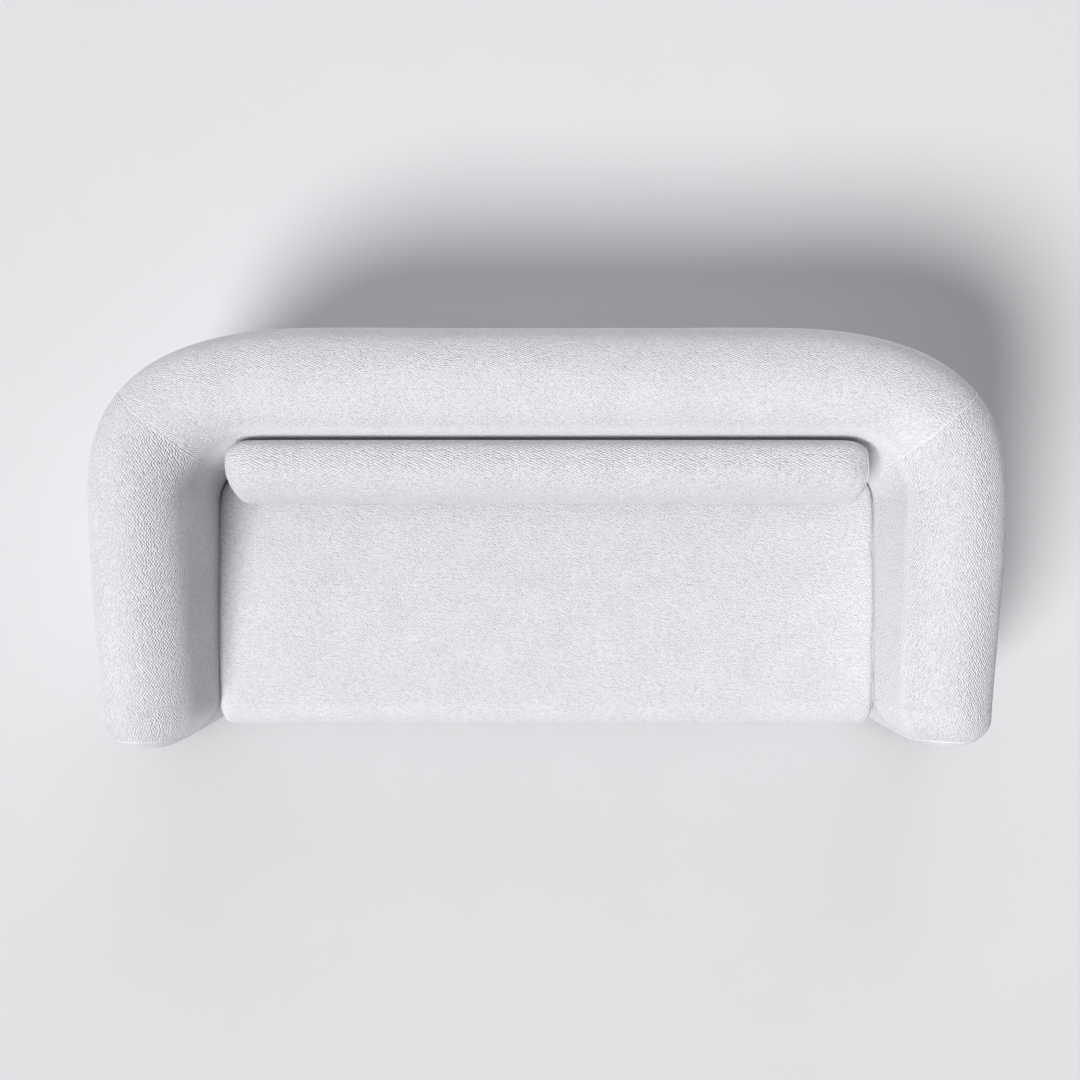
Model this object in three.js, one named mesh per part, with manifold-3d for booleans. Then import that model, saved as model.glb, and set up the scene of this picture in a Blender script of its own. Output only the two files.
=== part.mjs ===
// Rounded sofa: an upholstered shell of back and arms in one U, a bench seat cushion and a long lumbar cushion.
// Millimetres, +Z up, +Y towards the back, origin on the floor under the middle of the sofa.
import * as THREE from 'three';
import { mergeVertices } from 'three/addons/utils/BufferGeometryUtils.js';
import Module from 'manifold-3d';

const wasm = await Module();
wasm.setup();

// Driving sizes of the whole sofa
const overallWidth = 2200;
const overallDepth = 1040;
const seatHeight = 425;
const backRise = 305;
const armFrontRise = 165;
const backHeight = seatHeight + backRise;
const armFrontHeight = seatHeight + armFrontRise;
const footHeight = 50;

// The shell in plan: outer corner (a squared ellipse) and inner corner (a quarter circle)
const cornerReachX = 585;
const cornerReachY = 420;
const cornerPower = 2.64;
const innerCornerRadius = 110;
const mitreAngle = THREE.MathUtils.degToRad(40);

// The shell in section: the crest's distance to the outer wall, and to the inner wall at seat height
const armOutReach = 114;
const armInReach = 166;
const backOutReach = 126;
const backInReach = 181;
const armWallLean = THREE.MathUtils.degToRad(13);
const backWallLean = THREE.MathUtils.degToRad(14);

// The arm's falling crest and its domed end
const armSlopeSetback = 374;
const armSlopeStart = overallDepth / 2 - armSlopeSetback;
const armSlopeEase = 200;
const domeDepth = 100;
const domePower = 1.66;
const domeSkewShare = 0.147;
const domeApexDrop = 40;
const domeApexHeight = seatHeight - domeApexDrop;
const endSeamShare = 0.5;

// Layers from the outside in, and the clearances between them
const coverThickness = 3;
const outerFoam = 30;
const crestFoam = 45;
const wallFoam = 50;
const liningThickness = 3;
const seatGap = 0.3;
const boardGap = 0.6;
const mitreAllowance = 1.6;

// Timber and plywood
const plyThickness = 18;
const railThickness = 28;
const dustThickness = 2;
const plateInset = 60;
const frontRailSetback = 92;
const frontRailY = frontRailSetback - overallDepth / 2;
const formerSetback = 130;
const ribFrontY = formerSetback - overallDepth / 2;
const backRibX = 300;
const ribWindowWidth = 80;
const ribWindowHeight = 190;
const ribWindowDrop = 135;
const ribWindowMid = seatHeight - ribWindowDrop;
const topRailWidth = 40;
const topRailHeight = 30;
const centreRailWidth = 40;
const centreRailDrop = 40;

// Seat suspension
const strapWidth = 70;
const strapThickness = 1.6;
const strapWeave = 1.1;
const strapRamp = 35;
const lengthwiseStrapCount = 6;
const crosswiseStrapCount = 2;

// Front border
const borderFoam = 14;
const borderRadius = 18;

// Feet
const footTopRadius = 32;
const footBaseRadius = 25;
const footChamfer = 3;
const footSides = 16;
const studRadius = 4;
const studLength = 26;
const studClearance = 0.4;
const frontFootInset = 140;
const frontFootSetback = 180;
const rearFootInset = 210;
const rearFootSetback = 150;
const centreFootSetback = 400;

// Seat cushion
const cushionSideGap = 1;
const cushionRearGap = 8;
const cushionThickness = 193;
const cushionFrontInset = 58;
const cushionFrontY = cushionFrontInset - overallDepth / 2;
const cushionCrown = 12;
const cushionFrontTopRadius = 70;
const cushionFrontBaseRadius = 40;
const cushionRearRadius = 26;
const cushionFrontBulge = 6;
const cushionEndDraw = 6;
const cushionEndDrawLength = 120;
const cushionFrontCorner = 30;
const cushionRearCorner = 107;
const cushionEndSwell = 6;
const cushionCover = 3;

// Lumbar cushion
const lumbarEndGap = 45;
const lumbarThickness = 136;
const lumbarRise = 231;
const lumbarPower = 2.7;
const lumbarWallGap = 0.8;
const lumbarFrontCorner = 42;
const lumbarFrontCornerDepth = 62;
const lumbarRearCorner = 62;
const lumbarRearCornerDepth = 62;
const lumbarEndDrawLength = 72;
const lumbarEndDrawShare = 0.1;
const lumbarEndSwell = 8;
const lumbarPointCount = 24;
const lumbarZipShare = 0.57;

// Zips
const zipTapeWidth = 20;
const zipBeadWidth = 6;
const zipBeadHeight = 1.6;
const zipEndMargin = 120;
const zipRecess = 0.4;
const sliderLength = 14;
const sliderWall = 1.2;
const sliderGap = 0.35;
const pullLength = 22;
const pullWidth = 5;
const cutOverrun = 20;

// Finishes
const finishes = {
  boucle: new THREE.MeshStandardMaterial({ color: 0xe4e3e8, roughness: 0.95, metalness: 0 }),
  foam: new THREE.MeshStandardMaterial({ color: 0xe9e0c4, roughness: 0.95, metalness: 0 }),
  fibreboard: new THREE.MeshStandardMaterial({ color: 0x8a6f4e, roughness: 0.9, metalness: 0 }),
  plywood: new THREE.MeshStandardMaterial({ color: 0xc9a876, roughness: 0.7, metalness: 0 }),
  timber: new THREE.MeshStandardMaterial({ color: 0xd6b98a, roughness: 0.7, metalness: 0 }),
  webbing: new THREE.MeshStandardMaterial({ color: 0x3c3a38, roughness: 0.9, metalness: 0 }),
  liner: new THREE.MeshStandardMaterial({ color: 0x2b2b2d, roughness: 0.95, metalness: 0 }),
  footWood: new THREE.MeshStandardMaterial({ color: 0x2a211b, roughness: 0.5, metalness: 0 }),
  zipNylon: new THREE.MeshStandardMaterial({ color: 0xd8d7dc, roughness: 0.6, metalness: 0 }),
  zipMetal: new THREE.MeshStandardMaterial({ color: 0xb9b9bd, roughness: 0.35, metalness: 1 }),
};

const sofa = new THREE.Group();
const curveSteps = 8;

// Adds one named piece to the sofa
function add(name, geometry, finish) {
  const mesh = new THREE.Mesh(geometry, finishes[finish].clone());
  mesh.name = name;
  sofa.add(mesh);
  return mesh;
}

// Closed geometry from points and triangles: welds shared points, drops collapsed faces and turns faces outward
function closedGeometry(points, triangles) {
  const raw = new THREE.BufferGeometry().setFromPoints(points);
  raw.setIndex(triangles.flat());
  const welded = mergeVertices(raw, seatGap / 100);
  const position = welded.getAttribute('position');
  const index = welded.index.array;
  const kept = [];
  for (let i = 0; i < index.length; i += 3) {
    const [a, b, c] = [index[i], index[i + 1], index[i + 2]];
    if (a !== b && b !== c && c !== a) kept.push([a, b, c]);
  }
  const corner = (i) => new THREE.Vector3().fromBufferAttribute(position, i);
  let volume = 0;
  for (const [a, b, c] of kept) volume += corner(a).dot(corner(b).cross(corner(c)));
  const facing = volume < 0 ? kept.map(([a, b, c]) => [a, c, b]) : kept;
  const geometry = new THREE.BufferGeometry();
  geometry.setAttribute('position', position);
  geometry.setIndex(facing.flat());
  geometry.computeVertexNormals();
  return geometry;
}

// A solid for cutting and joining, from any closed geometry
function toSolid(geometry) {
  const plain = geometry.clone();
  plain.deleteAttribute('normal');
  plain.deleteAttribute('uv');
  const welded = mergeVertices(plain, seatGap / 100);
  return new wasm.Manifold(new wasm.Mesh({
    numProp: 3,
    vertProperties: new Float32Array(welded.getAttribute('position').array),
    triVerts: new Uint32Array(welded.index.array),
  }));
}

// The geometry of a solid that was cut or joined
function fromSolid(solid) {
  const mesh = solid.getMesh();
  const geometry = new THREE.BufferGeometry();
  geometry.setAttribute('position', new THREE.BufferAttribute(new Float32Array(mesh.vertProperties), 3));
  geometry.setIndex(new THREE.BufferAttribute(new Uint32Array(mesh.triVerts), 1));
  geometry.computeVertexNormals();
  return geometry;
}

// The base geometry less every tool geometry
function cut(base, tools) {
  let solid = toSolid(base);
  for (const tool of tools) solid = solid.subtract(toSolid(tool));
  return fromSolid(solid);
}

// The same geometry on the other side of the sofa
function mirrored(geometry) {
  const copy = geometry.clone();
  const position = copy.getAttribute('position');
  for (let i = 0; i < position.count; i += 1) position.setX(i, -position.getX(i));
  const index = Array.from(copy.index.array);
  for (let i = 0; i < index.length; i += 3) [index[i + 1], index[i + 2]] = [index[i + 2], index[i + 1]];
  copy.setIndex(index);
  copy.computeVertexNormals();
  return copy;
}

// Adds a piece of the right-hand side and its mirror image
function addPair(name, geometry, finish) {
  add(`${name}_right`, geometry, finish);
  add(`${name}_left`, mirrored(geometry), finish);
}

// A box between two corners
function box(low, high) {
  const size = high.clone().sub(low);
  const geometry = new THREE.BoxGeometry(size.x, size.y, size.z);
  const middle = low.clone().add(high).multiplyScalar(1 / 2);
  return geometry.translate(middle.x, middle.y, middle.z);
}

const at = (x, y, z) => new THREE.Vector3(x, y, z);

// A flat shape in plan, as a plate between two heights
function extruded(shape, bottom, top) {
  const geometry = new THREE.ExtrudeGeometry(
    shape,
    { depth: top - bottom, bevelEnabled: false, curveSegments: curveSteps },
  );
  geometry.deleteAttribute('normal');
  geometry.deleteAttribute('uv');
  return mergeVertices(geometry.translate(0, 0, bottom), seatGap / 100);
}
const plate = (outline, bottom, top) => extruded(
  new THREE.Shape(outline.map(([x, y]) => new THREE.Vector2(x, y))),
  bottom,
  top,
);

// A thick sheet between two grids of points; a tip is an end where both halves of the last row meet on one line
function sheet(outside, inside, tip = false) {
  const rows = outside.length;
  const columns = outside[0].length;
  const points = [...outside.flat(), ...inside.flat()];
  const out = (i, j) => i * columns + j;
  const inn = (i, j) => rows * columns + i * columns + j;
  const triangles = [];
  const quad = (a, b, c, d) => triangles.push([a, b, c], [a, c, d]);
  for (let i = 0; i + 1 < rows; i += 1) {
    for (let j = 0; j + 1 < columns; j += 1) {
      quad(out(i, j), out(i + 1, j), out(i + 1, j + 1), out(i, j + 1));
      quad(inn(i, j), inn(i, j + 1), inn(i + 1, j + 1), inn(i + 1, j));
    }
    const last = columns - 1;
    quad(out(i, 0), inn(i, 0), inn(i + 1, 0), out(i + 1, 0));
    quad(out(i, last), out(i + 1, last), inn(i + 1, last), inn(i, last));
  }
  for (let j = 0; j + 1 < columns; j += 1) {
    quad(out(0, j), out(0, j + 1), inn(0, j + 1), inn(0, j));
    if (!tip) quad(out(rows - 1, j), inn(rows - 1, j), inn(rows - 1, j + 1), out(rows - 1, j + 1));
  }
  return closedGeometry(points, triangles);
}

// A closed solid through rings of points; each end is filled from the ring's own flat outline, given as 2-D points
function loft(rings, startOutline, endOutline) {
  const count = rings[0].length;
  const points = rings.flat();
  const triangles = [];
  for (let i = 0; i + 1 < rings.length; i += 1) {
    for (let j = 0; j < count; j += 1) {
      const next = (j + 1) % count;
      const [a, b, c, d] = [i * count + j, (i + 1) * count + j, (i + 1) * count + next, i * count + next];
      triangles.push([a, b, c], [a, c, d]);
    }
  }
  const anticlockwise = (outline) => !THREE.ShapeUtils.isClockWise(outline);
  const fill = (outline, base, reverse) => {
    const order = outline.map((_, j) => j);
    if (!anticlockwise(outline)) order.reverse();
    for (const [a, b, c] of THREE.ShapeUtils.triangulateShape(order.map((j) => outline[j]), [])) {
      const [p, q, r] = [order[a], order[b], order[c]];
      const forward = anticlockwise(outline) !== reverse;
      triangles.push(forward ? [base + p, base + q, base + r] : [base + p, base + r, base + q]);
    }
  };
  if (startOutline) fill(startOutline, 0, false);
  if (endOutline) fill(endOutline, (rings.length - 1) * count, true);
  return closedGeometry(points, triangles);
}

// Levels, from the underside up to the deck under the seat cushion
const dustTop = footHeight + dustThickness;
const coverFoot = dustTop + seatGap;
const plateBottom = dustTop + seatGap;
const plateTop = plateBottom + plyThickness;
const wallFoot = plateTop + seatGap;
const cushionBottom = seatHeight - cushionThickness;
const deckTop = cushionBottom - seatGap;
const deckBottom = deckTop - coverThickness;
const strapMid = deckBottom - seatGap - strapThickness / 2 - strapWeave;
const railTop = strapMid - strapThickness / 2 - seatGap;
const centreRailTop = railTop - centreRailDrop;

// The shell's plan

const armWallX = overallWidth / 2 - armOutReach - armInReach;
const backWallY = overallDepth / 2 - backOutReach - backInReach;
const cornerX = armWallX - innerCornerRadius;
const cornerY = backWallY - innerCornerRadius;
const domeStartY = domeDepth - overallDepth / 2;
const endSeamY = domeStartY - domeDepth * endSeamShare;

// How far outside the outer plan line a point lies: below 1 is inside
function planPower(x, y) {
  const u = Math.max(x - (overallWidth / 2 - cornerReachX), 0) / cornerReachX;
  const v = Math.max(y - (overallDepth / 2 - cornerReachY), 0) / cornerReachY;
  return u ** cornerPower + v ** cornerPower;
}

// Distance from a plan point to the outer line along a direction, by halving
function reachToOuter(x, y, dx, dy) {
  let near = 0;
  let far = overallWidth;
  for (let i = 0; i < 50; i += 1) {
    const middle = (near + far) / 2;
    if (planPower(x + dx * middle, y + dy * middle) < 1) near = middle;
    else far = middle;
  }
  return near;
}

// Height of the crest: level along the back, then easing into a straight fall along the arm
function crestAt(y) {
  const fall = (d) => (d <= 0 ? 0 : d < armSlopeEase ? (d * d) / (2 * armSlopeEase) : d - armSlopeEase / 2);
  const share = fall(armSlopeStart - y) / fall(armSlopeStart - endSeamY);
  return backHeight - (backHeight - armFrontHeight) * share;
}

// A station: a vertical plane across the shell, from the inner wall outward
function makeStation(x, y, dx, dy, turn, shift = 0) {
  const blend = (1 - Math.cos(2 * turn)) / 2;
  const span = reachToOuter(x, y, dx, dy);
  const out = THREE.MathUtils.lerp(armOutReach, backOutReach, blend);
  const crest = crestAt(y + dy * (span - out));
  const lean = THREE.MathUtils.lerp(armWallLean, backWallLean, blend);
  return { x, y, dx, dy, out, into: span - out, crest, lean, shift, dome: 0 };
}
const armStation = (y) => makeStation(armWallX, y, 1, 0, 0);
const backStation = (x) => makeStation(x, backWallY, 0, 1, Math.PI / 2);
function cornerStation(turn, shift = 0) {
  const [dx, dy] = [Math.cos(turn), Math.sin(turn)];
  return makeStation(cornerX + innerCornerRadius * dx, cornerY + innerCornerRadius * dy, dx, dy, turn, shift);
}
function domeStation(share, shift = 0) {
  return { ...armStation(domeStartY), dome: share, domed: true, shift };
}

// The section's columns, from the outer foot over the crest to the inner foot, with their outward normals
const arcSteps = 6;
function sectionColumns(station, outerFoot, innerFoot) {
  const { out, into, crest, lean } = station;
  const fallToSeat = (crest - seatHeight) * Math.sin(lean);
  const inner = (into * Math.cos(lean) - fallToSeat) / (1 - Math.sin(lean));
  const columns = [
    { w: out, z: outerFoot, nw: 1, nz: 0, foam: outerFoam },
    { w: out, z: domeApexHeight, nw: 1, nz: 0, foam: outerFoam },
  ];
  for (let i = 0; i <= arcSteps; i += 1) {
    const angle = ((Math.PI / 2) * i) / arcSteps;
    const [nw, nz] = [Math.cos(angle), Math.sin(angle)];
    const foam = THREE.MathUtils.lerp(outerFoam, crestFoam, i / arcSteps);
    columns.push({ w: out * nw, z: crest - out + out * nz, nw, nz, foam });
  }
  for (let i = 1; i <= arcSteps; i += 1) {
    const angle = Math.PI / 2 + ((Math.PI / 2 - lean) * i) / arcSteps;
    const [nw, nz] = [Math.cos(angle), Math.sin(angle)];
    columns.push({ w: inner * nw, z: crest - inner + inner * nz, nw, nz, foam: crestFoam });
  }
  columns.push({ w: -into, z: seatHeight, nw: -1, nz: Math.tan(lean / 2), foam: wallFoam });
  columns.push({ w: -into, z: domeApexHeight, nw: -1, nz: 0, foam: wallFoam });
  columns.push({ w: -into, z: innerFoot, nw: -1, nz: 0, foam: wallFoam });
  return columns;
}

// The point of a station's column at a depth below the surface
function shellPoint(station, column, depth) {
  let w = column.w - column.nw * depth;
  let z = column.z - column.nz * depth;
  const plan = station.into + w;
  if (!station.domed) {
    return at(
      station.x + station.dx * plan - station.dy * station.shift,
      station.y + station.dy * plan + station.dx * station.shift,
      z,
    );
  }
  const scale = (1 - station.dome ** domePower) ** (1 / domePower);
  w *= scale;
  if (z > domeApexHeight) z = domeApexHeight + (z - domeApexHeight) * scale;
  const y = domeStartY - (domeDepth - depth) * station.dome - domeSkewShare * w + station.shift;
  return at(station.x + station.into + w, y, z);
}

// Depths of the layers at a column
const coverDepth = () => coverThickness;
const foamOutside = () => coverThickness + seatGap;
const foamInside = (column) => coverThickness + seatGap + column.foam;
const liningOutside = (column) => foamInside(column) + seatGap;
const liningInside = (column) => liningOutside(column) + liningThickness;
const ribOutside = (column) => liningInside(column) + boardGap;

// A grid of shell points over stations, at a depth given for each column
function shellGrid(stations, depth, outerFoot, innerFoot) {
  return stations.map((station) => sectionColumns(station, outerFoot, station.innerFoot ?? innerFoot)
    .map((column) => shellPoint(station, column, depth(column))));
}

// The stations of each stretch, from front to back
const halfSeam = seatGap / 2;
const cornerSteps = 4;
const armCornerStations = [];
for (let i = 0; i < cornerSteps; i += 1) armCornerStations.push(cornerStation((mitreAngle * i) / cornerSteps));
armCornerStations.push(cornerStation(mitreAngle, -halfSeam));
const easeEnd = armSlopeStart - armSlopeEase;
const easeSteps = 3;
const armEaseStations = [];
for (let i = easeSteps; i > 0; i -= 1) {
  armEaseStations.push(armStation(THREE.MathUtils.lerp(cornerY, easeEnd, i / easeSteps)));
}
const armBodyStations = (frontY) => [armStation(frontY), ...armEaseStations, ...armCornerStations];
const domeRows = [endSeamShare * 0.5, 0];
const armCoverStations = [
  domeStation(endSeamShare, halfSeam),
  ...domeRows.map((share) => domeStation(share)),
  armStation(ribFrontY - seatGap),
].map((station) => ({ ...station, innerFoot: coverFoot })).concat(armBodyStations(ribFrontY));
const endCoverShares = [0.36, 0.66, 0.88, 1];
const endCoverStations = [
  domeStation(endSeamShare, -halfSeam),
  ...endCoverShares.map((share) => domeStation(THREE.MathUtils.lerp(endSeamShare, 1, share))),
];
const backTurnSteps = 5;
const backHalfStations = [cornerStation(mitreAngle, halfSeam)];
for (let i = 1; i <= backTurnSteps; i += 1) {
  backHalfStations.push(cornerStation(THREE.MathUtils.lerp(mitreAngle, Math.PI / 2, i / backTurnSteps)));
}
const bowSteps = 2;
const bowEndX = overallWidth / 2 - cornerReachX;
for (let i = 1; i <= bowSteps; i += 1) {
  backHalfStations.push(backStation(THREE.MathUtils.lerp(cornerX, bowEndX, i / bowSteps)));
}

// A grid over the whole back, from the right mitre to the left one
function backGrid(depth, outerFoot, innerFoot) {
  const half = shellGrid(backHalfStations, depth, outerFoot, innerFoot);
  const other = half.map((row) => row.map((p) => at(-p.x, p.y, p.z))).reverse();
  return [...half, ...other];
}

// Covers, foam and linings of the back and the arms

add('back_cover', sheet(backGrid(() => 0, coverFoot, wallFoot), backGrid(coverDepth, coverFoot, wallFoot)), 'boucle');
add('back_foam', sheet(backGrid(foamOutside, coverFoot, wallFoot), backGrid(foamInside, coverFoot, wallFoot)), 'foam');
add(
  'back_lining',
  sheet(backGrid(liningOutside, coverFoot, wallFoot), backGrid(liningInside, coverFoot, wallFoot)),
  'fibreboard',
);

// A layer of the arm over its stations
function armLayer(stations, outside, inside, innerFoot = wallFoot) {
  const outer = shellGrid(stations, outside, coverFoot, innerFoot);
  const inner = shellGrid(stations, inside, coverFoot, innerFoot);
  return sheet(outer, inner);
}
addPair('arm_cover', armLayer(armCoverStations, () => 0, coverDepth), 'boucle');
addPair('arm_foam', armLayer(armBodyStations(ribFrontY), foamOutside, foamInside), 'foam');
addPair('arm_lining', armLayer(armBodyStations(ribFrontY), liningOutside, liningInside), 'fibreboard');

// The domed end cover of an arm
addPair('arm_end_cover', sheet(
  shellGrid(endCoverStations, () => 0, coverFoot, coverFoot),
  shellGrid(endCoverStations, coverDepth, coverFoot, coverFoot),
  true,
), 'boucle');

// The end pad: solid foam between the front former and the end cover
function endPad() {
  const stations = [
    armStation(ribFrontY - seatGap),
    ...[0, ...domeRows.filter((share) => share > 0), endSeamShare].map((share) => domeStation(share)),
    ...endCoverShares.map((share) => domeStation(THREE.MathUtils.lerp(endSeamShare, 1, share))),
  ];
  const rings = shellGrid(stations, foamOutside, coverFoot, coverFoot);
  const start = rings[0].map((p) => new THREE.Vector2(p.x, p.z));
  return loft(rings, start, null);
}
addPair('arm_end_foam', endPad(), 'foam');

// Top rails: battens let into the formers along the crest

const crestDepth = ribOutside({ foam: crestFoam });
const railCurve = armOutReach - crestDepth;
const railDrop = railCurve - Math.sqrt(railCurve ** 2 - (topRailWidth / 2) ** 2);

// A batten along stations; grow widens it for a notch, and open raises its top
function batten(stations, grow, open) {
  const rings = stations.map((station) => {
    const top = station.crest - crestDepth - railDrop;
    const low = top - topRailHeight - grow;
    const high = top + open;
    const half = topRailWidth / 2 + grow;
    const place = (w, z) => shellPoint(station, { w, z, nw: 0, nz: 0 }, 0);
    return [place(-half, low), place(half, low), place(half, high), place(-half, high)];
  });
  const square = [[0, 0], [1, 0], [1, 1], [0, 1]].map(([u, v]) => new THREE.Vector2(u, v));
  return loft(rings, square, square);
}
// The stations of the two kinds of batten; an arm's and the back's meet inside the mitre former
const armRailStations = (frontY, ...endShifts) => [
  ...armBodyStations(frontY).slice(0, -1),
  ...endShifts.map((shift) => cornerStation(mitreAngle, shift)),
];
const backRailStations = (endX, ...startShifts) => [
  ...startShifts.map((shift) => cornerStation(mitreAngle, shift)),
  ...backHalfStations.slice(1),
  backStation(endX),
];
addPair('arm_top_rail', batten(armRailStations(ribFrontY + boardGap, -boardGap), 0, 0), 'timber');
const backRailHalf = batten(backRailStations(-plyThickness, boardGap), 0, 0);
add('back_top_rail', fromSolid(toSolid(backRailHalf).add(toSolid(mirrored(backRailHalf)))), 'timber');
const armNotch = batten(armRailStations(ribFrontY - plyThickness, 0, plyThickness), seatGap, crestFoam);
const backNotch = batten(backRailStations(0, -plyThickness, 0), seatGap, crestFoam);

// Plywood formers: the shell's section inside the lining, notched for the battens, with a rounded window

// A rounded window through a former, at the middle of its width
function windowTool(station) {
  const columns = sectionColumns(station, wallFoot, wallFoot);
  const outer = columns[0].w - ribOutside(columns[0]);
  const inner = columns[columns.length - 1].w + ribOutside(columns[columns.length - 1]);
  const radius = ribWindowWidth / 2;
  const straight = ribWindowHeight / 2 - radius;
  const shape = new THREE.Shape();
  shape.absarc(0, straight, radius, 0, Math.PI, false);
  shape.absarc(0, -straight, radius, Math.PI, 2 * Math.PI, false);
  const reach = plyThickness + cutOverrun;
  const tool = extruded(shape, -reach, reach).translate((outer + inner) / 2, ribWindowMid, 0);
  const basis = new THREE.Matrix4().makeBasis(
    at(station.dx, station.dy, 0),
    at(0, 0, 1),
    at(station.dy, -station.dx, 0),
  );
  basis.setPosition(station.x + station.dx * station.into, station.y + station.dy * station.into, 0);
  return tool.applyMatrix4(basis);
}

// A former between two stations
function former(stations, notches, allowance = 0) {
  const rings = shellGrid(stations, (column) => ribOutside(column) + allowance, wallFoot, wallFoot);
  const outline = sectionColumns(stations[0], wallFoot, wallFoot).map(({ w, z }) => new THREE.Vector2(w, z));
  return cut(loft(rings, outline, outline), [windowTool(stations[0]), ...notches]);
}
const armFormer = (y) => former([armStation(y), armStation(y + plyThickness)], [armNotch]);
addPair('arm_front_former', armFormer(ribFrontY), 'plywood');
addPair('arm_middle_former', armFormer((ribFrontY + cornerY) / 2), 'plywood');
const mitreFaces = [-plyThickness / 2, plyThickness / 2].map((shift) => cornerStation(mitreAngle, shift));
addPair('mitre_former', former(mitreFaces, [armNotch, backNotch], mitreAllowance), 'plywood');
const backFaces = [backStation(backRibX), backStation(backRibX + plyThickness)];
addPair('back_former', former(backFaces, [backNotch]), 'plywood');

// Base plates, on which the formers and the seat frame stand

const plateEdge = ribOutside({ foam: outerFoam });
const plateInnerX = armWallX - plateInset;
const plateOuterX = overallWidth / 2 - plateEdge;
const frameX = armWallX - boardGap;
const frameRearY = backWallY - boardGap;
const footPlan = {
  front: [overallWidth / 2 - frontFootInset, frontFootSetback - overallDepth / 2],
  rear: [overallWidth / 2 - rearFootInset, overallDepth / 2 - rearFootSetback],
};
const studTool = ([x, y]) => new THREE.CylinderGeometry(
  studRadius + studClearance,
  studRadius + studClearance,
  plyThickness + dustThickness + 2 * cutOverrun,
  16,
).rotateX(Math.PI / 2).translate(x, y, plateBottom);
const armPlate = plate([
  [plateInnerX, frontRailY],
  [frameX, frontRailY],
  [frameX, ribFrontY],
  [plateOuterX, ribFrontY],
  [plateOuterX, cornerY - halfSeam],
  [plateInnerX, cornerY - halfSeam],
], plateBottom, plateTop);
addPair('arm_base_plate', cut(armPlate, [studTool(footPlan.front)]), 'plywood');

// Plan points of the outer wall at a depth, from the corner's start to the middle of the back
function outerPlan(depth) {
  const turns = [...armCornerStations.slice(1, -1), ...backHalfStations.map((s) => ({ ...s, shift: 0 }))];
  return turns.map((station) => {
    const point = shellPoint(station, { w: station.out, z: 0, nw: 1, nz: 0 }, depth);
    return [point.x, point.y];
  });
}
const flip = (outline) => outline.map(([x, y]) => [-x, y]).reverse();
const backHalfPlan = [
  [plateInnerX, backWallY - plateInset],
  [plateInnerX, cornerY + halfSeam],
  [plateOuterX, cornerY + halfSeam],
  ...outerPlan(plateEdge),
];
add('back_base_plate', cut(
  plate([...backHalfPlan, ...flip(backHalfPlan)], plateBottom, plateTop),
  [studTool(footPlan.rear), studTool([-footPlan.rear[0], footPlan.rear[1]])],
), 'plywood');

// Seat frame: rails on the base plates, with rounded blocks at the rear corners

const railInnerX = frameX - railThickness;
const frontRailBack = frontRailY + railThickness;
const rearRailFront = frameRearY - railThickness;
add('seat_rail_front', box(at(-frameX, frontRailY, wallFoot), at(frameX, frontRailBack, railTop)), 'timber');
add('seat_rail_rear', box(at(-cornerX, rearRailFront, wallFoot), at(cornerX, frameRearY, railTop)), 'timber');
addPair('seat_rail', box(
  at(railInnerX, frontRailBack + seatGap, wallFoot),
  at(frameX, cornerY, railTop),
), 'timber');
const blockRadius = innerCornerRadius - boardGap;
const blockShape = new THREE.Shape();
const blockTurn = seatGap / blockRadius;
blockShape.absarc(cornerX, cornerY, blockRadius, blockTurn, Math.PI / 2 - blockTurn, false);
blockShape.lineTo(cornerX + seatGap, rearRailFront);
blockShape.lineTo(railInnerX, cornerY + seatGap);
addPair('seat_corner_block', extruded(blockShape, wallFoot, railTop), 'timber');
const centreFeet = [footPlan.front[1], overallDepth / 2 - centreFootSetback];
const centreRailFront = frontRailBack + seatGap;
const centreRailRear = backWallY - plateInset - seatGap;
const centreProfile = [
  [centreRailFront, plateBottom],
  [centreRailRear, plateBottom],
  [centreRailRear, wallFoot],
  [rearRailFront - seatGap, wallFoot],
  [rearRailFront - seatGap, centreRailTop],
  [centreRailFront, centreRailTop],
];
const centreRings = [-centreRailWidth / 2, centreRailWidth / 2]
  .map((x) => centreProfile.map(([y, z]) => at(x, y, z)));
const centreOutline = centreProfile.map(([y, z]) => new THREE.Vector2(y, z));
const centreStuds = centreFeet.map((y) => studTool([0, y]));
add('seat_rail_centre', cut(loft(centreRings, centreOutline, centreOutline), centreStuds), 'timber');

// Elastic webbing, woven: straps front to back pass over and under the straps across

const strapPitch = (2 * frameX) / lengthwiseStrapCount;
const strapPitchY = (rearRailFront - frontRailBack) / crosswiseStrapCount;
const strapX = (i) => (i - (lengthwiseStrapCount - 1) / 2) * strapPitch;
const strapY = (k) => frontRailBack + (k + 1 / 2) * strapPitchY;

// A strap along one direction: flat over each crossing strap, with a ramp on both sides of it
function strap(start, end, crossings, place) {
  const path = [[start, 0]];
  for (const { position, side } of crossings) {
    const [flat, ramp] = [strapWidth / 2, strapWidth / 2 + strapRamp];
    path.push([position - ramp, 0], [position - flat, side], [position + flat, side], [position + ramp, 0]);
  }
  path.push([end, 0]);
  const layer = (lift) => path.map(([along, side]) => [-strapWidth / 2, strapWidth / 2]
    .map((across) => place(along, across, strapMid + side * strapWeave + lift)));
  return sheet(layer(strapThickness / 2), layer(-strapThickness / 2));
}
const sideOf = (i, k) => ((i + k) % 2 === 0 ? 1 : -1);
const each = (count) => Array.from({ length: count }, (_, i) => i);
for (const i of each(lengthwiseStrapCount)) {
  const crossings = each(crosswiseStrapCount).map((k) => ({ position: strapY(k), side: sideOf(i, k) }));
  const geometry = strap(
    frontRailY + borderRadius / 2,
    frameRearY - borderRadius / 2,
    crossings,
    (along, across, z) => at(strapX(i) + across, along, z),
  );
  add(`seat_strap_lengthwise_${i + 1}`, geometry, 'webbing');
}
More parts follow.
